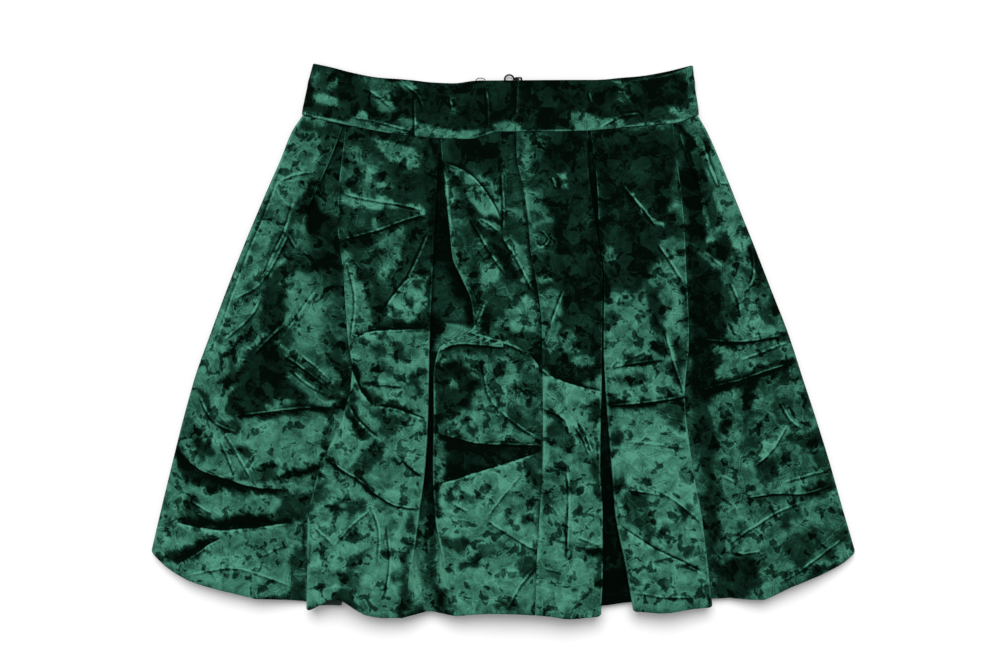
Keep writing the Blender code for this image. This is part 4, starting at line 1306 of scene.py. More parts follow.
def band_surface(section: Section, stations: Array) -> Surface:
    """Lays a piece of the waistband.

    Args:
        section: Its section at a share of the way up.
        stations: Where its rows lie, counted from its lower edge up.

    Returns:
        Its surface, with no creases or nap yet.
    """
    points, highs = [], []
    for up in stations:
        x, z = np.array(section(up)).T
        across = share_across(x, band, up)
        high = np.clip((z - BAND_FRONT_Z) / (band_back_z(up) - BAND_FRONT_Z), 0, 1)
        edge = mix(top["front_y"](across), top["back_y"](across), high)
        inward = np.minimum(across, 1 - across) / WAIST_GAP_REACH
        gap = mix(WAIST_GAP_SIDE, WAIST_GAP, smoothstep(inward))
        points.append(np.stack([x, mix(waist["y"](across) + gap, edge, up), z], axis=1))
        highs.append(high)
    return plain_surface(points, highs, 1 - stations)


def normals_of(points: Array) -> Array:
    """Finds the normals of a grid of points, upwards where it runs down the page and to the right."""
    across = np.cross(np.gradient(points, axis=0), np.gradient(points, axis=1))
    return across / np.maximum(np.linalg.norm(across, axis=2, keepdims=True), 1e-12)


def painted_rim_highlight(normals: Array) -> Array:
    """Finds where cloth bends away, for a painted highlight that stands for the sheen of its standing pile."""
    up = np.abs(normals[..., 2])
    return smoothstep((0.93 - up) / 0.12) * smoothstep((up - 0.25) / 0.3)


def seam_shade(surface: Surface, left: bool) -> Array:
    """Shades a back half along the centre seam, which throws shade to its left and catches light on its right.

    Args:
        surface: The half of the skirt or of the band.
        left: Whether it is the left half.

    Returns:
        What it adds to the nap.
    """
    from_seam = surface.way_across()
    return -0.6 * bell(from_seam[:, -1:] - from_seam, 2.4) if left else 0.55 * bell(from_seam, 1.6)


def rounded_edge(way: Array, reach: float, least: float) -> Array:
    """Rounds a wall off towards its edge, from the least share of it there to all of it at the given reach."""
    return np.maximum(np.sqrt(np.clip(1 - (1 - np.clip(way / reach, 0.0, 1.0)) ** 2, 0.0, 1.0)), least)


def set_attribute(mesh: bpy.types.Mesh, name: str, values: Array) -> None:
    """Stores a value or a vector at each point of a mesh, for its material to read.

    Args:
        mesh: The mesh.
        name: The attribute's name.
        values: One value or one vector for each point.
    """
    vector = values.ndim == 2
    made = mesh.attributes.new(name, "FLOAT_VECTOR" if vector else "FLOAT", "POINT")
    made.data.foreach_set("vector" if vector else "value", values.astype(np.float32).ravel())


def add_mesh(
    name: str, points: Array, faces: Sequence[Sequence[int]], finishes: Sequence[bpy.types.Material]
) -> bpy.types.Object:
    """Adds a mesh to the scene.

    Args:
        name: Its name.
        points: Its points, mm, in the tables' own place.
        faces: Its faces.
        finishes: Its materials.

    Returns:
        The new object.
    """
    mesh = bpy.data.meshes.new(name)
    mesh.from_pydata(((points + OFFSET) * MM).tolist(), [], faces)
    mesh.shade_smooth()
    for finish in finishes:
        mesh.materials.append(finish)
    made = bpy.data.objects.new(name, mesh)
    bpy.context.scene.collection.objects.link(made)
    return made


def grid_faces(rows: int, columns: int, base: int, flip: bool) -> Array:
    """Makes the faces of a grid of points.

    Args:
        rows: Its rows.
        columns: Its columns.
        base: The number of its first point.
        flip: Whether the faces are turned over.

    Returns:
        The faces, four points each.
    """
    index = base + np.arange(rows * columns).reshape(rows, columns)
    corners = [index[:-1, :-1], index[1:, :-1], index[1:, 1:], index[:-1, 1:]]
    faces = np.stack(corners, axis=2).reshape(-1, 4)
    return faces[:, ::-1] if flip else faces


@dataclass(frozen=True)
class Wall:
    """The wall of a shell: how far its face and its back lie from its middle, mm, and what they are made of."""

    outer: Array
    inner: Array
    outward: int  # 1 where the face looks along the surface's normals, -1 where it looks the other way
    face: bpy.types.Material  # also of the cut edges
    back: bpy.types.Material
    plot: float  # where on the cloth it was cut, m, which sets its pattern apart


def add_shell(name: str, surface: Surface, wall: Wall) -> bpy.types.Object:
    """Makes a closed thin shell on both sides of a surface.

    Args:
        name: The piece's name.
        surface: The middle of its wall.
        wall: Its wall.

    Returns:
        The new object.
    """
    rows, columns = surface.high.shape
    count = rows * columns
    normals = normals_of(surface.points) * wall.outward
    face = surface.points + normals * wall.outer[..., None]
    back = surface.points - normals * wall.inner[..., None]
    points = np.vstack([face.reshape(-1, 3), back.reshape(-1, 3)])
    index = np.arange(count).reshape(rows, columns)
    loop = np.concatenate([index[0, :-1], index[:-1, -1], index[-1, :0:-1], index[:0:-1, 0]])
    after = np.roll(loop, -1)
    rim = np.stack([loop, after, after + count, loop + count], axis=1)
    if wall.outward < 0:
        rim = rim[:, ::-1]
    back_faces = grid_faces(rows, columns, count, wall.outward > 0)
    faces = np.vstack([grid_faces(rows, columns, 0, wall.outward < 0), rim, back_faces])
    made = add_mesh(name, points, faces.tolist(), [wall.face, wall.back])
    which = np.zeros(len(faces), np.int32)
    which[-len(back_faces) :] = 1
    made.data.polygons.foreach_set("material_index", which)
    set_attribute(made.data, "cut", points * (MM, MM, CUT_DEPTH * MM) + (0.0, 0.0, wall.plot))
    # the nap with its painted light, and the places of the crease lines' painted highlight and shade
    for label, values in (("nap", surface.nap), ("lip", surface.lip), ("lip_strength", surface.strength)):
        set_attribute(made.data, label, np.tile(values.ravel(), 2))
    return made


# ---------------------------------------------------------------------------------- finishes

# Kinds of nodes, and what they are set to
ATTRIBUTE, PLACE, RAMP, BUMP = "ShaderNodeAttribute", "ShaderNodeTexCoord", "ShaderNodeValToRGB", "ShaderNodeBump"
NOISE, CELLS, WAVES = "ShaderNodeTexNoise", "ShaderNodeTexVoronoi", "ShaderNodeTexWave"
MATH, VECTOR, RANGE = "ShaderNodeMath", "ShaderNodeVectorMath", "ShaderNodeMapRange"
LESS, TIMES = {"operation": "SUBTRACT"}, {"operation": "MULTIPLY"}
INTO = {"operation": "MULTIPLY_ADD"}  # the first times the second, and the third on top
SMOOTH = {"interpolation_type": "SMOOTHSTEP"}  # a value, and where it has reached 0 and 1
EDGES = {"feature": "DISTANCE_TO_EDGE"}

RIB_SCALE = 0.314  # a wave texture's scale for one rib to the metre

# What feeds a shader, by the name of the node
FEEDS = (("colour", "Base Color"), ("rough", "Roughness"), ("bump", "Normal"))

Tones = tuple[tuple[float, str], ...]


def linear(code: str) -> tuple[float, float, float, float]:
    """Turns an sRGB hex colour into a linear one.

    Args:
        code: The colour, such as #1a4033.

    Returns:
        Its red, green, blue and alpha.
    """
    parts = [int(code[i : i + 2], 16) / 255 for i in (1, 3, 5)]
    r, g, b = (c / 12.92 if c <= 0.04045 else ((c + 0.055) / 1.055) ** 2.4 for c in parts)
    return (r, g, b, 1.0)


def add_node(
    tree: bpy.types.NodeTree, kind: str, settings: dict, inputs: dict, output: Union[int, str] = 0, stops: Tones = ()
) -> bpy.types.NodeSocket:
    """Adds a node with its settings and links.

    Args:
        tree: The material's nodes.
        kind: The node's type.
        settings: Its properties.
        inputs: A value for each input, or the socket that feeds it.
        output: Which output to hand back.
        stops: The colours of a ramp, each with its place. The first two are its ends.

    Returns:
        That output.
    """
    made = tree.nodes.new(kind)
    for name, value in settings.items():
        setattr(made, name, value)
    for name, value in inputs.items():
        if isinstance(value, bpy.types.NodeSocket):
            tree.links.new(value, made.inputs[name])
        else:
            made.inputs[name].default_value = value
    for i, (place, code) in enumerate(stops):
        stop = made.color_ramp.elements[i] if i < 2 else made.color_ramp.elements.new(place)
        stop.position, stop.color = place, linear(code)
    return made.outputs[output]


def new_finish(name: str, shader: dict, rows: Iterable[tuple]) -> bpy.types.Material:
    """Makes a material.

    Args:
        name: Its name.
        shader: Values for its shader's own inputs.
        rows: Its nodes in order, each a name, a kind, properties and inputs, then the output and the stops that
            it needs. An input given as a name is fed by the last node of that name.

    Returns:
        The material.
    """
    material = bpy.data.materials.new(name)
    material.use_nodes = True
    tree = material.node_tree
    principled = tree.nodes["Principled BSDF"]
    for key, value in shader.items():
        principled.inputs[key].default_value = value
    made = {}
    for label, kind, settings, inputs, *rest in rows:
        pairs = inputs.items() if isinstance(inputs, dict) else enumerate(inputs)
        feeds = {key: made[value] if isinstance(value, str) else value for key, value in pairs}
        made[label] = add_node(tree, kind, settings, feeds, *rest)
    for label, key in FEEDS:
        if label in made:
            tree.links.new(made[label], principled.inputs[key])
    return material


@dataclass(frozen=True)
class CrushedVelvet:
    """Knitted polyester velvet, crushed wet so that its pile lies in patches, bright and nearly black, their sheen
    painted into the colour.
    """

    # From pile that leans away from the eye to pile that leans towards it, its sheen painted in, the two ends first
    tones: Tones = (
        (0.0, "#020704"),
        (1.0, "#4e8d77"),
        (0.125, "#081a13"),
        (0.32, "#112e23"),
        (0.44, "#1a4033"),
        (0.55, "#275444"),
        (0.70, "#356a58"),
        (0.85, "#407b67"),
    )
    level: float = 0.463  # the tone where the nap is even
    reach: float = 0.42  # how far the nap and its painted light move the tone

    # Sizes are from one to the next, m. The lights are what each adds to the tone
    cloud: float = 0.030  # crushed patches
    cloud_light: float = 0.95
    fleck: float = 0.013  # small tufts that lie against a patch
    fleck_light: float = 1.15
    pile: float = 0.0014  # tufts, drawn about three times as coarse as real ones, so that they show
    pile_light: float = 0.25
    dent: float = 0.010  # small dark flecks with crisp edges, where tufts lie flat
    dent_light: float = -0.39
    brim_painted_highlight: float = 0.13  # a painted highlight on a dent's thin edge, where the tufts around it stand
    chip: float = 0.012  # angular bits inside a patch, each with its own lean
    chip_light: float = 0.24
    crackle: float = 0.020  # fine branching crease lines, each a painted highlight with painted shade beside it
    crackle_painted_highlight: float = 0.32
    crackle_painted_shade: float = -0.13
    hair: float = 0.009  # thinner lines between them, painted highlights
    hair_painted_highlight: float = 0.13

    # The line of a crease: a painted highlight along it, and painted shade below it
    ragged: float = 1.8  # how far the pile makes it stray, mm
    lip_painted_highlight: float = 0.48
    lip_painted_shade: float = -0.50

    def rows(self) -> list[tuple]:
        """Lists the nodes that make the tone and the height of the pile.

        Returns:
            The rows for new_finish.
        """
        rows = [
            ("cut", ATTRIBUTE, {"attribute_name": "cut"}, {}, "Vector"),
            # the nap with its painted sheen, shade and highlights; the lip places a crease's painted highlight and
            # shade
            ("nap", ATTRIBUTE, {"attribute_name": "nap"}, {}, "Fac"),
            ("lip", ATTRIBUTE, {"attribute_name": "lip"}, {}, "Fac"),
            ("strength", ATTRIBUTE, {"attribute_name": "lip_strength"}, {}, "Fac"),
            # The crushing shoved the pattern about, so no line of it runs straight
            ("shove", NOISE, {}, {"Vector": "cut", "Scale": 42.0, "Detail": 1.5, "Roughness": 0.5}, "Color"),
            ("shove", VECTOR, LESS, ("shove", (0.5, 0.5, 0.5))),
            ("shove", VECTOR, {"operation": "SCALE"}, {0: "shove", "Scale": 0.016}),
            ("bent", VECTOR, {"operation": "ADD"}, ("cut", "shove")),
            # Where the pile lies down it is even, and where it stands it is broken up
            ("lively", RANGE, {}, ("nap", -0.9, -0.2, 0.38, 1.0)),
            ("tone", MATH, INTO, ("nap", self.reach, self.level)),
        ]
        for name, size, light, detail, roughness, distortion in (
            ("cloud", self.cloud, self.cloud_light, 6.0, 0.60, 1.2),
            ("fleck", self.fleck, self.fleck_light, 4.0, 0.66, 0.9),
            ("pile", self.pile, self.pile_light, 2.0, 0.60, 0.0),
        ):
            look = {"Scale": 1 / size, "Detail": detail, "Roughness": roughness, "Distortion": distortion}
            rows += [
                (name, NOISE, {}, {"Vector": "cut", **look}),
                ("shift", MATH, LESS, (name, 0.5)),
                ("shift", MATH, TIMES, ("shift", "lively")),
                ("tone", MATH, INTO, ("shift", light, "tone")),
            ]
        look = {"Scale": 1 / self.dent, "Detail": 2.5, "Roughness": 0.62, "Distortion": 0.35}
        return rows + [
            # Dents, each with a painted highlight along its thin edge
            ("pressed", NOISE, {}, {"Vector": "cut", **look}),
            ("dent", RANGE, SMOOTH, ("pressed", 0.455, 0.380)),
            ("dent", MATH, TIMES, ("dent", "lively")),
            ("tone", MATH, INTO, ("dent", self.dent_light, "tone")),
            ("inner", RANGE, SMOOTH, ("pressed", 0.448, 0.462)),
            ("outer", RANGE, SMOOTH, ("pressed", 0.492, 0.468)),
            ("brim", MATH, TIMES, ("inner", "outer")),
            ("brim", MATH, TIMES, ("brim", "lively")),
            ("tone", MATH, INTO, ("brim", self.brim_painted_highlight, "tone")),
            # Chips
            ("chips", CELLS, {}, {"Vector": "bent", "Scale": 1 / self.chip}, "Color"),
            ("chips", "ShaderNodeSeparateColor", {}, ("chips",), "Red"),
            ("chips", MATH, LESS, ("chips", 0.5)),
            ("tone", MATH, INTO, ("chips", self.chip_light, "tone")),
            # Crackle and hair lines, painted highlights, the crackle with painted shade beside it, both broken off
            # where the pile lies down
            ("edge", CELLS, EDGES, {"Vector": "bent", "Scale": 1 / self.crackle}, "Distance"),
            ("crackle", RANGE, SMOOTH, ("edge", 0.03, 0.0)),
            ("beside", RANGE, SMOOTH, ("edge", 0.10, 0.04)),
            ("broken", RANGE, SMOOTH, ("cloud", 0.42, 0.60)),
            ("broken", MATH, TIMES, ("broken", "lively")),
            ("crackle", MATH, TIMES, ("crackle", "broken")),
            ("beside", MATH, TIMES, ("beside", "broken")),
            ("tone", MATH, INTO, ("beside", self.crackle_painted_shade, "tone")),
            ("tone", MATH, INTO, ("crackle", self.crackle_painted_highlight, "tone")),
            ("hair", CELLS, EDGES, {"Vector": "bent", "Scale": 1 / self.hair}, "Distance"),
            ("hair", RANGE, SMOOTH, ("hair", 0.06, 0.0)),
            ("hair", MATH, TIMES, ("hair", "broken")),
            ("tone", MATH, INTO, ("hair", self.hair_painted_highlight, "tone")),
            # A painted highlight along the line of a crease, here and there
            ("ragged", MATH, LESS, ("fleck", 0.5)),
            ("lip", MATH, INTO, ("ragged", self.ragged, "lip")),
            ("rise", RANGE, SMOOTH, ("lip", -0.6, 0.1)),
            ("fade", RANGE, SMOOTH, ("lip", 1.5, 0.5)),
            ("rim", MATH, TIMES, ("rise", "fade")),
            ("rim", MATH, TIMES, ("rim", "strength")),
            ("caught", RANGE, SMOOTH, ("fleck", 0.40, 0.56, 0.35, 1.3)),
            ("rim", MATH, TIMES, ("rim", "caught")),
            ("tone", MATH, INTO, ("rim", self.lip_painted_highlight, "tone")),
            # ... and painted shade below it
            ("below", RANGE, SMOOTH, ("lip", -0.5, -0.9)),
            ("away", RANGE, SMOOTH, ("lip", -3.2, -1.6)),
            ("below", MATH, TIMES, ("below", "away")),
            ("below", MATH, TIMES, ("below", "strength")),
            ("tone", MATH, INTO, ("below", self.lip_painted_shade, "tone")),
            ("height", MATH, TIMES, ("fleck", 0.8)),
            ("height", MATH, INTO, ("crackle", 0.35, "height")),
            ("height", MATH, INTO, ("pile", 0.35, "height")),
        ]

    def build(self) -> bpy.types.Material:
        """Makes the material.

        Returns:
            The material.
        """
        shader = {
            "Sheen Weight": 0.025,
            "Sheen Roughness": 0.35,
            "Sheen Tint": linear("#6fd0a4"),
            "Specular IOR Level": 0.03,
            "Specular Tint": linear("#5fb897"),
        }
        rows = self.rows() + [
            ("colour", RAMP, {}, ("tone",), "Color", self.tones),
            ("rough", RANGE, {}, ("tone", 0.2, 0.8, 0.75, 0.5)),
            ("bump", BUMP, {}, {"Strength": 0.8, "Distance": 0.0012, "Height": "height"}, "Normal"),
        ]
        return new_finish("Polyester_Velvet_Crushed", shader, rows)


@dataclass(frozen=True)
class RibbedFinish:
    """Matt cloth whose fine ribs show: a knit or a weave."""

    name: str
    tones: Tones
    rib: float  # from one rib to the next, m
    runs: str
    strays: float
    shader: dict

    def build(self) -> bpy.types.Material:
        """Makes the material.

        Returns:
            The material.
        """
        look = {"Scale": RIB_SCALE / self.rib, "Distortion": self.strays, "Detail": 2.0}
        rows = [
            ("cut", ATTRIBUTE, {"attribute_name": "cut"}, {}, "Vector"),
            ("ribs", WAVES, {"bands_direction": self.runs}, {"Vector": "cut", **look}, "Fac"),
            ("colour", RAMP, {}, ("ribs",), "Color", self.tones),
            ("bump", BUMP, {}, {"Strength": 0.5, "Distance": 0.0002, "Height": "ribs"}, "Normal"),
        ]
        return new_finish(self.name, self.shader, rows)


@dataclass(frozen=True)
class HardFinish:
    """A material of one colour with fine wear in it: metal wire, nylon or thread."""

    name: str
    colour: str
    worn: str
    roughness: float
    metallic: float
    grain: float

    def build(self) -> bpy.types.Material:
        """Makes the material.

        Returns:
            The material.
        """
        tones = ((0.35, self.colour), (0.75, self.worn))
        rows = [
            ("place", PLACE, {}, {}, "Object"),
            ("speck", NOISE, {}, {"Vector": "place", "Scale": 1 / self.grain, "Detail": 4.0}),
            ("colour", RAMP, {}, ("speck",), "Color", tones),
            ("rough", RANGE, {}, ("speck", 0.0, 1.0, self.roughness - 0.1, self.roughness + 0.1)),
            ("bump", BUMP, {}, {"Strength": 0.2, "Distance": 0.0001, "Height": "speck"}, "Normal"),
        ]
        return new_finish(self.name, {"Metallic": self.metallic}, rows)


@dataclass(frozen=True)
class Finishes:
    """All the materials of the skirt."""

    velvet: bpy.types.Material
    backing: bpy.types.Material
    tape: bpy.types.Material
    coil: bpy.types.Material
    steel: bpy.types.Material
    thread: bpy.types.Material


def make_finishes() -> Finishes:
    """Makes all the materials of the skirt.

    Returns:
        The materials.
    """
    knit = ((0.1, "#0a241c"), (0.9, "#12382c"))
    tape = ((0.2, "#071d16"), (0.8, "#0e3529"))
    matt = {"Roughness": 0.85, "Sheen Weight": 0.15}
    return Finishes(
        # Crushed polyester velvet, soft patches from black to a cool bright green; how they change with the light is
        # painted into the colour as sheen
        velvet=CrushedVelvet().build(),
        # The velvet's back, a plain fine knit, matt and brushed. Its wales are drawn 1.1 mm apart, about twice
        # as coarse as real ones, so that they show
        backing=RibbedFinish("Polyester_Knit_Brushed", knit, 0.0011, "X", 1.5, matt).build(),
        # Woven tape, a close twill that shows as slanting ribs, also drawn coarser than real
        tape=RibbedFinish("Polyester_Tape_Woven", tape, 0.0009, "DIAGONAL", 0.3, {"Roughness": 0.7}).build(),
        # Dark moulded nylon, a little shiny
        coil=HardFinish("Nylon_Coil_Moulded", "#0c2e24", "#164536", 0.35, 0.0, 0.002).build(),
        # Bent wire, blackened, with bare steel glinting where it is worn
        steel=HardFinish("Steel_Wire_Blackened", "#0e0f10", "#2c2e30", 0.4, 1.0, 0.0015).build(),
        # Two-ply sewing thread, dark green with lighter fibres
        thread=HardFinish("Polyester_Thread_Spun", "#0a2f24", "#1f5a45", 0.6, 0.0, 0.0004).build(),
    )


# ---------------------------------------------------------------------------------- pieces


MOST_SWELL = 0.8  # mm


class Side(Enum):
    """Which half of the back."""

    LEFT = "left"
    RIGHT = "right"


def skirt_stations(rows: int) -> Array:
    """Places the rows of a panel, closer at the waist and at the hem's rounded edge.

    Args:
        rows: How many there are apart from the extra ones.

    Returns:
        The share of the way down of each.
    """
    inner = np.linspace(0.0, 1.0, rows)[1:-1]
    ends = [0.0, 0.0015, 0.9962, 0.9976, 0.9986, 0.9993, 0.9997, 1.0]
    return np.unique(np.concatenate([ends, inner]))


def underlay(x: Array, y: Array) -> Array:
    """Finds how far the floor side is pushed up by its own soft creases, and every layer above with it, mm."""
    swell = 0.45 * (ripple(x, y, 70.0, seed=3.0) + 0.35) + 0.25 * ripple(x, y, 28.0, seed=9.0)
    return np.clip(swell, 0.0, MOST_SWELL)


@dataclass(frozen=True)
class SkirtPanel:
    """A panel of the skirt: works its nap and makes its shell. Sizes are in mm, and tones from -1 to 1."""

    wall: float = WALL
    rows: int = 168
    hem_edge: float = 0.18  # share of the wall's thickness at the very edge of the hem
    hem_turn: float = 9.5  # from the hem to its blind stitches
    hem_extra: float = 0.5  # the turned-up layer under it
    stray: float = 3.4  # how unevenly a patch of nap ends
    stray_size: float = 16.0
    plain: float = -0.3  # the nap where there is no patch

    def paint(self, x: Array, y: Array, patches: Sequence[Patch]) -> Array:
        """Paints the nap with patches that end unevenly.

        Args:
            x: The points' x, mm.
            y: The points' y, mm.
            patches: The patches.

        Returns:
            The nap.
        """
        stray_x, stray_y = (self.stray * ripple(x, y, self.stray_size, seed, 3) for seed in (20.0, 40.0))
        return paint_patches(x + stray_x, y + stray_y, patches, self.plain)

    def make(
        self, name: str, surface: Surface, outward: int, finishes: Finishes, plot: float
    ) -> bpy.types.Object:
        """Makes the panel's shell with its rounded hem.

        Args:
            name: Its name.
            surface: Its worked surface.
            outward: Which way its face looks.
            finishes: The materials.
            plot: Where on the velvet it was cut, m.

        Returns:
            The panel.
        """
        way = surface.way_down()
        from_hem = way[-1] - way
        half = self.wall / 2
        outer = half * rounded_edge(from_hem, half, self.hem_edge)
        inner = outer
        if outward > 0:
            turned = smoothstep((self.hem_turn - from_hem) / 1.2) * smoothstep(from_hem / 1.5)
            inner = outer + self.hem_extra * turned * smoothstep(2.5 * surface.high - 1.4)
        return add_shell(name, surface, Wall(outer, inner, outward, finishes.velvet, finishes.backing, plot))


@dataclass(frozen=True)
class SkirtBack(SkirtPanel):
    """One half of the back, from its side seam to the centre seam, with two pleats that have opened unevenly."""

    side: Side = Side.LEFT
    hem_pull: float = 0.45  # the ridge that the hem's stitches leave
    hem_painted_shade: float = 0.4  # painted shade where the cloth bends down at the hem
    hem_reach: float = 3.4
    seam_roll: float = 1.0  # how far the cloth rolls down into the centre seam
    seam_reach: float = 2.6
    wrinkle: float = 0.55
    wrinkle_size: float = 26.0  # from one wrinkle to the next
    crimp: float = 0.6  # finer wrinkles among them, against their height
    crimp_size: float = 11.0
    pinch: float = 0.5  # depth of the thin valleys between the wrinkles
    pinch_size: float = 34.0
    least_lift: float = -0.2  # how far a crease may move the cloth, as shares of its height
    most_lift: float = 0.24
    lip_painted_shade: float = 0.9  # painted shade below the lips of the creases
    painted_rim_highlight: float = 0.9  # painted highlight where the cloth bends away, for the sheen of its standing pile
    blackest: float = -1.3  # the darkest nap, and the painted shade deep in a pleat
    brightest: float = 1.2
    closed: float = 0.95  # how much painted shade a closed pleat has inside, and one that has opened
    opened: float = 0.30
    middle_left: float = -105.0  # the two pleats that stay closed lie between these
    middle_right: float = 130.0

    def build(self, finishes: Finishes) -> bpy.types.Object:
        """Lays and works the half.

        Args:
            finishes: The materials.

        Returns:
            The panel.
        """
        left = self.side is Side.LEFT
        surface = skirt_surface(back_left_section if left else back_right_section, skirt_stations(self.rows))
        self.dress(surface, left)
        return self.make(f"skirt_back_{self.side.value}_velvet", surface, 1, finishes, 0.0 if left else 0.61)

    def dress(self, surface: Surface, left: bool) -> None:
        """Works the creases and the nap into the half.

        Args:
            surface: The half's surface, which it changes.
            left: Whether it is the left half.
        """
        x, y, z = (surface.points[..., k].copy() for k in range(3))
        down = surface.down[:, None]
        way = surface.way_down()
        from_hem = way[-1] - way
        from_seam = surface.way_across()
        if left:
            from_seam = from_seam[:, -1:] - from_seam
        weight = smoothstep((surface.high - 0.35) / 0.5)  # the layers below the faces keep their place

        drawn = draw_creases(x, y, CREASES)
        crimps = self.crimp * ripple(x, y, self.crimp_size, seed=5.0)
        lift = drawn.lift + self.wrinkle * (ripple(x, y, self.wrinkle_size, seed=1.0) + crimps)
        lift -= self.pinch * (1 - np.abs(ripple(x, y, self.pinch_size, seed=60.0))) ** 6
        lift += self.hem_pull * bell(from_hem - self.hem_turn, 1.6)
        roll = bell(from_seam, self.seam_reach)
        lift = lift * (1 - 0.6 * roll) - self.seam_roll * roll * smoothstep(down / 0.1)
        face = np.array([face_height(row, share) for row, share in zip(x, surface.down)])
        lift = np.clip(lift, self.least_lift * face, self.most_lift * face) * smoothstep(way / 9.0)
        surface.points[..., 2] = z + weight * lift + underlay(x, y) * smoothstep(way / 12.0)

        nap = self.paint(x, y, NAP_AND_PAINTED_LIGHT)
        nap -= self.lip_painted_shade * drawn.painted_shade
        nap += seam_shade(surface, left)
        nap -= self.hem_painted_shade * bell(from_hem, self.hem_reach)
        rim = self.painted_rim_highlight * painted_rim_highlight(normals_of(surface.points)) * smoothstep((surface.high - 0.6) / 0.2)
        nap += rim * (0.35 + 0.65 * smoothstep((nap + 1.0) / 0.6))  # painted highlight, weaker where the pile lies flat
        # Painted shade deep in the two middle pleats, and less in the outer two, which have opened into valleys
        painted_pleat_shade = 1 - smoothstep((surface.high - 0.42) / 0.3)
        opened = self.opened * (1 - smoothstep((down - 0.52) / 0.12))
        closed = self.closed - 0.6 * smoothstep((down - 0.72) / 0.1) * smoothstep(-x / 10)
        middle = smoothstep((x - self.middle_left) / 15) * smoothstep((self.middle_right - x) / 15)
        painted_pleat_shade *= mix(opened, closed, middle)
        painted_pleat_shade *= paint_patches(x, y, PLEAT_SHADE_KEPT, 1.0)
        surface.nap = np.clip(mix(nap, self.blackest, painted_pleat_shade), self.blackest, self.brightest)
        surface.lip = drawn.lip
        surface.strength = drawn.strength * weight


@dataclass(frozen=True)
class SkirtFront(SkirtPanel):
    """The whole front, lying on its face, with four inverted pleats laid in."""

    rows: int = 128
    plain: float = 0.1
    inside: float = -0.4  # the nap that faces the back
    # painted shade below the lips of the creases
    lip_painted_shade: float = 0.7

    def build(self, finishes: Finishes) -> bpy.types.Object:
        """Lays and works the front.

        Args:
            finishes: The materials.

        Returns:
            The panel.
        """
        surface = skirt_surface(front_section, skirt_stations(self.rows))
        x, y = surface.points[..., 0], surface.points[..., 1]
        surface.points[..., 2] += underlay(x, y) * smoothstep(surface.way_down() / 12.0)
        drawn = draw_creases(x, y, turned_over(CREASES))
        nap = self.paint(x, y, turned_over(NAP_AND_PAINTED_LIGHT)) - self.lip_painted_shade * drawn.painted_shade
        low = surface.points[..., 2] < FLOOR_LAYER + 1.5  # what lies on the floor shows from below
        surface.nap = np.where(low, np.clip(nap * 0.85 + 0.1, -1.0, 1.0), self.inside)
        surface.lip = drawn.lip
        surface.strength = 0.8 * drawn.strength
        return self.make("skirt_front_velvet", surface, -1, finishes, 1.37)


@dataclass(frozen=True)
class Waistband:
    """The waistband: a front and two back pieces, doubled and stiffened. Sizes are in mm."""

    wall: float = BAND_WALL
    rows: int = 26
    edge: float = 1.0  # radius of its folded top edge and of the roll at its seam
    thinnest: float = 0.12  # share of the wall's thickness at its very edges
    wrinkle: float = 0.35
    wrinkle_size: float = 18.0
    crimp: float = 0.5
    crimp_size: float = 8.0
    stray: float = 1.2  # how unevenly a patch of nap ends
    stray_size: float = 9.0
    plain: float = -0.8  # the nap where there is no patch
    # painted shade below the lips of its creases
    lip_painted_shade: float = 0.5
    roll_painted_highlight: float = 0.55  # painted highlight where it rolls into its seam

    def stations(self) -> Array:
        """Places its rows from its top to its lower edge, closer at both edges.

        Returns:
            The share of the way up of each.
        """
        inner = np.linspace(0.0, 1.0, self.rows)[1:-1]
        ends = np.array([0.0, 0.004, 0.012, 0.022])
        return np.unique(np.concatenate([ends, 1 - ends, inner]))[::-1]

    def build(self, finishes: Finishes) -> list[bpy.types.Object]:
        """Makes its three pieces.

        Args:
            finishes: The materials.

        Returns:
            The front, the left back and the right back.
        """
        pieces = (
            ("waistband_front_velvet", band_front_section, 2.11),
            ("waistband_back_left_velvet", band_left_section, 2.53),
            ("waistband_back_right_velvet", band_right_section, 2.97),
        )
        return [self.piece(*facts, finishes) for facts in pieces]

    def piece(self, name: str, section: Section, plot: float, finishes: Finishes) -> bpy.types.Object:
        """Makes one of its pieces.

        Args:
            name: The piece's name.
            section: Its section at a share of the way up.
            plot: Where on the velvet it was cut, m.
            finishes: The materials.

        Returns:
            The piece.
        """
        surface = band_surface(section, self.stations())
        x, y = surface.points[..., 0], surface.points[..., 1]
        from_top = surface.way_down()
        from_low = from_top[-1] - from_top
        way = np.minimum(from_top, from_low)
        half = self.wall / 2 * rounded_edge(way, self.edge, self.thinnest)
        back = section is not band_front_section
        patches, creases = (BAND_NAP_AND_PAINTED_LIGHT, BAND_CREASES) if back else (turned_over(BAND_NAP_AND_PAINTED_LIGHT), turned_over(BAND_CREASES))
        drawn = draw_creases(x, y, creases)
        stray = self.stray * ripple(x, y, self.stray_size, 21.0, 2)
        nap = paint_patches(x + stray, y, patches, self.plain) - self.lip_painted_shade * drawn.painted_shade
        outer = half
        if back:
            nap += seam_shade(surface, section is band_left_section)
            crimps = self.crimp * ripple(x, y, self.crimp_size, seed=8.0)
            wrinkles = self.wrinkle * (ripple(x, y, self.wrinkle_size, seed=7.0) + crimps)
            outer = half + np.clip(drawn.lift + wrinkles, -0.5, 1.2) * smoothstep(way / 4.0)
        # A painted highlight on the roll at its seam
        surface.nap = np.maximum(nap, mix(-1.0, self.roll_painted_highlight, smoothstep((1.6 - from_low) / 1.0)))
        surface.lip, surface.strength = drawn.lip, drawn.strength
        wall = Wall(outer, half, 1 if back else -1, finishes.velvet, finishes.velvet, plot)
        return add_shell(name, surface, wall)


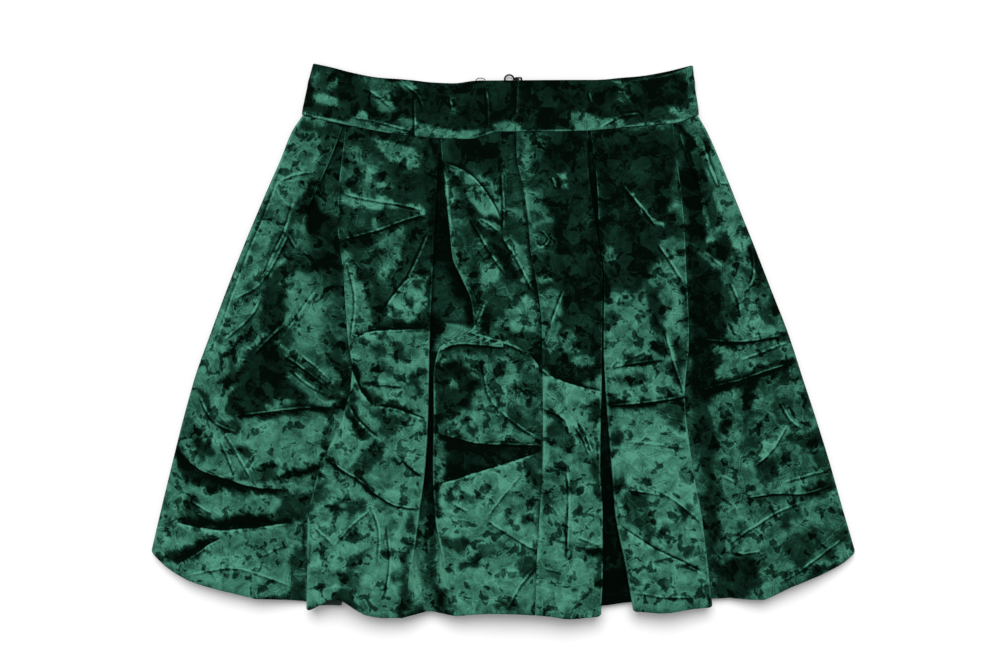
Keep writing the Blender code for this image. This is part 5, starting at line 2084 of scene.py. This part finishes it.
@dataclass(frozen=True)
class BackZip:
    """The concealed zip under the centre back seam: a woven tape and a nylon coil, closed. Sizes are in mm."""

    width: float = 24.0
    top: float = 0.80  # how far up the band it reaches
    end: float = 0.36  # how far down the skirt it reaches
    wall: float = 0.6
    below: float = 1.1  # how far under the cloth's own roll it lies
    coil_below: float = 0.55  # from the tape to the coil's middle
    coil_across: float = 1.1
    coil_high: float = 0.28
    wire: float = 0.25
    pitch: float = 1.6

    def band_row(self, up: float, offsets: Array) -> Array:
        """Lays a row of the tape under the band.

        Args:
            up: Share of the way up the band.
            offsets: How far each point lies from its middle.

        Returns:
            The row's points.
        """
        x = mix(BAND_SEAM_LOW, BAND_SEAM_TOP, up) + offsets
        across = share_across(x, band, up)
        y = mix(waist["y"](across) + WAIST_GAP, top["back_y"](across), up)
        drop = BAND_WALL / 2 + SEAM_GAP + self.wall / 2 + 0.4 * (1 - up)
        return np.stack([x, y, np.full_like(x, band_back_z(up) - drop)], axis=1)

    def skirt_row(self, down: float, offsets: Array) -> Array:
        """Lays a row of the tape under the skirt.

        Args:
            down: Share of the way down the skirt.
            offsets: How far each point lies from its middle.

        Returns:
            The row's points.
        """
        middle = seam["x"](down)
        x = middle + offsets
        across = share_across(x, outline, down)
        y = mix(waist["y"](across), hem["y"](across), down)
        under = smoothstep(down / 0.06)
        drop = WALL / 2 + SEAM_GAP + self.wall / 2 + (self.below + 0.012 * np.abs(offsets) ** 1.5) * under
        return np.stack([x, y, seam_height(middle, down) - drop], axis=1)

    def build(self, finishes: Finishes) -> tuple[bpy.types.Object, bpy.types.Object]:
        """Makes the tape and the coil.

        Args:
            finishes: The materials.

        Returns:
            The tape and the coil.
        """
        offsets = np.linspace(-0.5, 0.5, 17) * self.width
        rows = [self.band_row(up, offsets) for up in np.linspace(self.top, 0.0, 14)]
        rows += [self.skirt_row(down, offsets) for down in np.linspace(0.0, self.end, 66)[1:]]
        points = np.array(rows)
        surface = plain_surface(rows, np.ones(points.shape[:2]), np.linspace(0, 1, len(rows)))
        half = surface.high * self.wall / 2
        tape = add_shell("zip_tape", surface, Wall(half, half, 1, finishes.tape, finishes.tape, 3.5))
        spine = points[:, len(offsets) // 2] - (0.0, 0.0, self.wall / 2 + self.coil_below)
        return tape, self.wind_coil(spine, finishes)

    def wind_coil(self, spine: Array, finishes: Finishes) -> bpy.types.Object:
        """Winds the nylon coil along the tape's middle.

        Args:
            spine: The line it winds round, mm.
            finishes: The materials.

        Returns:
            The coil.
        """
        length = np.linalg.norm(np.diff(spine, axis=0), axis=1).sum()
        turns = int(length / self.pitch)
        middle, _ = even_line(spine, turns * 8 + 1)
        angle = np.linspace(0, 2 * math.pi * turns, len(middle))
        middle[:, 0] += self.coil_across * np.cos(angle)
        middle[:, 2] += self.coil_high * np.sin(angle)
        return add_tube("zip_coil", middle, Tube(self.wire, 6, finishes.coil))


def even_line(line: Array, count: int) -> tuple[Array, Array]:
    """Sets points along a line at even steps.

    Args:
        line: The line's points.
        count: How many points to set.

    Returns:
        The points, and the way along the line of each.
    """
    length = np.concatenate([[0.0], np.cumsum(np.linalg.norm(np.diff(line, axis=0), axis=1))])
    at = np.linspace(0.0, length[-1], count)
    return np.stack([np.interp(at, length, line[:, k]) for k in range(3)], axis=1), at


# Rings of a tube's domed end: how far out each lies and how wide it is, against the tube's radius
DOME = ((0.9, 0.44), (0.5, 0.87))


@dataclass(frozen=True)
class Tube:
    """What a tube is like: its radius, mm, points round it, material, and whether its ends are domed."""

    thick: float
    sides: int
    finish: bpy.types.Material
    domed: bool = False


def add_tube(name: str, line: Array, tube: Tube) -> bpy.types.Object:
    """Makes a closed tube along a line.

    Args:
        name: Its name.
        line: The points it follows, mm.
        tube: What it is like.

    Returns:
        The tube.
    """
    thick, sides = tube.thick, tube.sides
    steps = np.gradient(line, axis=0)
    steps /= np.maximum(np.linalg.norm(steps, axis=1, keepdims=True), 1e-9)
    side = np.cross(steps[0], UP)
    side = side / np.linalg.norm(side) if np.linalg.norm(side) > 1e-6 else np.array([1.0, 0.0, 0.0])
    rings = []
    for place, ahead in zip(line, steps):
        side = side - ahead * side.dot(ahead)
        side /= np.linalg.norm(side)
        rings.append((place, ahead, side, np.cross(ahead, side), thick))
    if tube.domed:
        first, last = rings[0], rings[-1]
        lead = [(first[0] - first[1] * thick * s, *first[1:4], thick * c) for s, c in DOME]
        tail = [(last[0] + last[1] * thick * s, *last[1:4], thick * c) for s, c in DOME[::-1]]
        rings = lead + rings + tail
    angles = np.linspace(0, 2 * math.pi, sides, endpoint=False)
    cos, sin = np.cos(angles), np.sin(angles)
    points = np.vstack([p + r * (np.outer(cos, s) + np.outer(sin, u)) for p, _, s, u, r in rings])
    faces = []
    for i in range(len(rings) - 1):
        for k in range(sides):
            a, b = i * sides + k, i * sides + (k + 1) % sides
            faces.append((a, b, b + sides, a + sides))
    last = (len(rings) - 1) * sides
    faces += [tuple(range(sides))[::-1], tuple(range(last, last + sides))]
    return add_mesh(name, points, faces, [tube.finish])


@dataclass(frozen=True)
class Fastenings:
    """The bent wire eye and hook, and the thin twisted loop, their feet behind the band. Sizes are in mm."""

    foot_depth: float = 6.0
    foot_z: float = 3.0
    wire: float = 0.72
    eye_middle: float = 3.85
    eye_width: float = 7.8
    eye_rise: float = 4.9
    hook_left: float = 8.9
    hook_right: float = 14.2
    hook_bend: float = 0.72
    hook_rise: float = 2.3
    loop_middle: float = -20.6
    loop_width: float = 7.6
    loop_rise: float = 2.4
    ply: float = 0.22
    ply_away: float = 0.2  # from the loop's middle
    ply_turn: float = 1.7  # the length of one twist

    def edge(self, x: float) -> float:
        """Finds the band's top edge at x."""
        return float(top["back_y"](share_across(x, band, 1.0)))

    def raised(self, line: list[Point]) -> Array:
        """Rounds a flat line and puts it at the height of the feet."""
        rounded = rounded_line(line, 3)
        return np.column_stack([rounded, np.full(len(rounded), self.foot_z)])

    def arch(self, middle: float, width: float, rise: float) -> Array:
        """Bends an arch past the band's top edge.

        Args:
            middle: Its middle.
            width: Its width.
            rise: How far it stands out.

        Returns:
            The points of its line.
        """
        edge, half = self.edge(middle), width / 2
        foot = [(middle - half, edge - self.foot_depth), (middle - half, edge - 1.0)]
        bow = [
            (middle + half * math.cos(angle), edge + rise * (0.25 + 0.75 * math.sin(angle)))
            for angle in np.linspace(math.pi, 0, 17)
        ]
        return self.raised(foot + bow + [(2 * middle - x, y) for x, y in foot[::-1]])

    def hook(self) -> Array:
        """Bends the hook: up from behind the band, along to the left, and back on itself.

        Returns:
            The points of its line.
        """
        right, bend = self.hook_right, self.hook_bend
        edge = self.edge(right)
        far = edge + self.hook_rise
        line = [(right, edge - self.foot_depth), (right, edge - 2.0), (right, far - bend)]
        line += [(right - 0.24, far - 0.12), (right - 0.8, far)]
        for angle in np.linspace(0.5, 1.5, 9) * math.pi:
            along, back = bend * (1 + math.cos(angle)), bend * (1 - math.sin(angle))
            line.append((self.hook_left + along, far - back))
        return self.raised(line + [(right - 2.6, far - 2 * bend)])

    def loop(self, finish: bpy.types.Material) -> list[bpy.types.Object]:
        """Twists the hanger loop.

        Args:
            finish: The thread's material.

        Returns:
            Its two plies.
        """
        middle, at = even_line(self.arch(self.loop_middle, self.loop_width, self.loop_rise), 150)
        ahead = np.gradient(middle, axis=0)
        ahead /= np.linalg.norm(ahead, axis=1, keepdims=True)
        across = np.cross(ahead, UP)
        plies = []
        for number in range(2):
            angle = at / self.ply_turn * 2 * math.pi + number * math.pi
            ply = middle + self.ply_away * (across * np.cos(angle)[:, None] + np.outer(np.sin(angle), UP))
            plies.append(add_tube(f"hanger_loop_ply_{number + 1}", ply, Tube(self.ply, 8, finish, True)))
        return plies

    def build(self, finishes: Finishes) -> tuple[bpy.types.Object, bpy.types.Object, list[bpy.types.Object]]:
        """Makes all three.

        Args:
            finishes: The materials.

        Returns:
            The eye, the hook, and the two plies of the loop.
        """
        wire = Tube(self.wire, 14, finishes.steel, True)
        eye = add_tube("eye_wire", self.arch(self.eye_middle, self.eye_width, self.eye_rise), wire)
        return eye, add_tube("hook_wire", self.hook(), wire), self.loop(finishes.thread)


# ---------------------------------------------------------------------------------- studio


@dataclass(frozen=True)
class Studio:
    """A plain pale floor, soft light from the waistband's side, and the camera straight above. Sizes are in m."""

    camera: tuple[float, float, float] = (0.00061, 0.0026, 1.195)
    lens: float = 50.0
    sensor: float = 36.0
    floor: float = 30.0
    sun_up: float = 58.0  # degrees, from the waistband's side
    sun_aside: float = 4.0
    sun_wide: float = 38.0
    sun_strength: float = 2.5
    sky: float = 0.5

    def build(self) -> None:
        """Makes the floor, the light, the sky and the camera."""
        scene = bpy.context.scene
        half = self.floor / 2
        mesh = bpy.data.meshes.new("studio_floor")
        mesh.from_pydata([(-half, -half, 0), (half, -half, 0), (half, half, 0), (-half, half, 0)], [], [(0, 1, 2, 3)])
        # Matt paper with a faint tooth, which the light turns to plain white
        rows = [
            ("place", PLACE, {}, {}, "Object"),
            ("tooth", NOISE, {}, {"Vector": "place", "Scale": 700.0, "Detail": 2.0}),
            ("colour", RAMP, {}, ("tooth",), "Color", ((0.3, "#f4f4f4"), (0.7, "#f7f7f7"))),
        ]
        mesh.materials.append(new_finish("Paper_Backdrop_Matt", {"Roughness": 0.9, "Specular IOR Level": 0.0}, rows))
        floor = bpy.data.objects.new("studio_floor", mesh)
        scene.collection.objects.link(floor)

        light = bpy.data.lights.new("key_light", "SUN")
        light.energy, light.angle = self.sun_strength, math.radians(self.sun_wide)
        key = bpy.data.objects.new("key_light", light)
        key.rotation_euler = (-math.radians(90 - self.sun_up), -math.radians(self.sun_aside), 0.0)

        world = bpy.data.worlds.new("studio_sky")
        world.use_nodes = True
        sky = world.node_tree.nodes["Background"]
        sky.inputs["Color"].default_value = (1.0, 1.0, 1.0, 1.0)
        sky.inputs["Strength"].default_value = self.sky
        scene.world = world

        lens = bpy.data.cameras.new("photo_camera")
        lens.lens, lens.sensor_width, lens.sensor_fit = self.lens, self.sensor, "HORIZONTAL"
        camera = bpy.data.objects.new("photo_camera", lens)
        camera.location = self.camera
        for made in (key, camera):
            scene.collection.objects.link(made)
        scene.camera = camera
        scene.view_settings.view_transform = "Standard"


# ---------------------------------------------------------------------------------- the skirt


def stand_for(piece: bpy.types.Object, node: str) -> None:
    """Lets a piece ride on the skirt in place of a node of the solid model.

    Args:
        piece: The piece.
        node: The node's name.
    """
    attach(piece, "root")
    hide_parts(node)
    LOG.info("%s stands for %s", piece.name, node)


def main() -> None:
    """Builds the skirt and its studio."""
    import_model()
    Studio().build()
    finishes = make_finishes()
    back_left = SkirtBack(side=Side.LEFT).build(finishes)
    back_right = SkirtBack(side=Side.RIGHT).build(finishes)
    front = SkirtFront().build(finishes)
    band_front, band_left, band_right = Waistband().build(finishes)
    tape, coil = BackZip().build(finishes)
    eye, hook, plies = Fastenings().build(finishes)

    stand_for(back_left, "skirt_back_left")
    stand_for(back_right, "skirt_back_right")
    stand_for(front, "skirt_front")
    stand_for(band_front, "waistband_front")
    stand_for(band_left, "waistband_back_left")
    stand_for(band_right, "waistband_back_right")
    stand_for(tape, "zip")
    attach(coil, "root")
    LOG.info("%s lies on %s", coil.name, tape.name)
    stand_for(eye, "eye")
    stand_for(hook, "hook")
    for ply in plies:
        stand_for(ply, "hanger_loop")


if __name__ == "__main__":
    logging.basicConfig(level=logging.INFO, format="%(message)s")
    main()
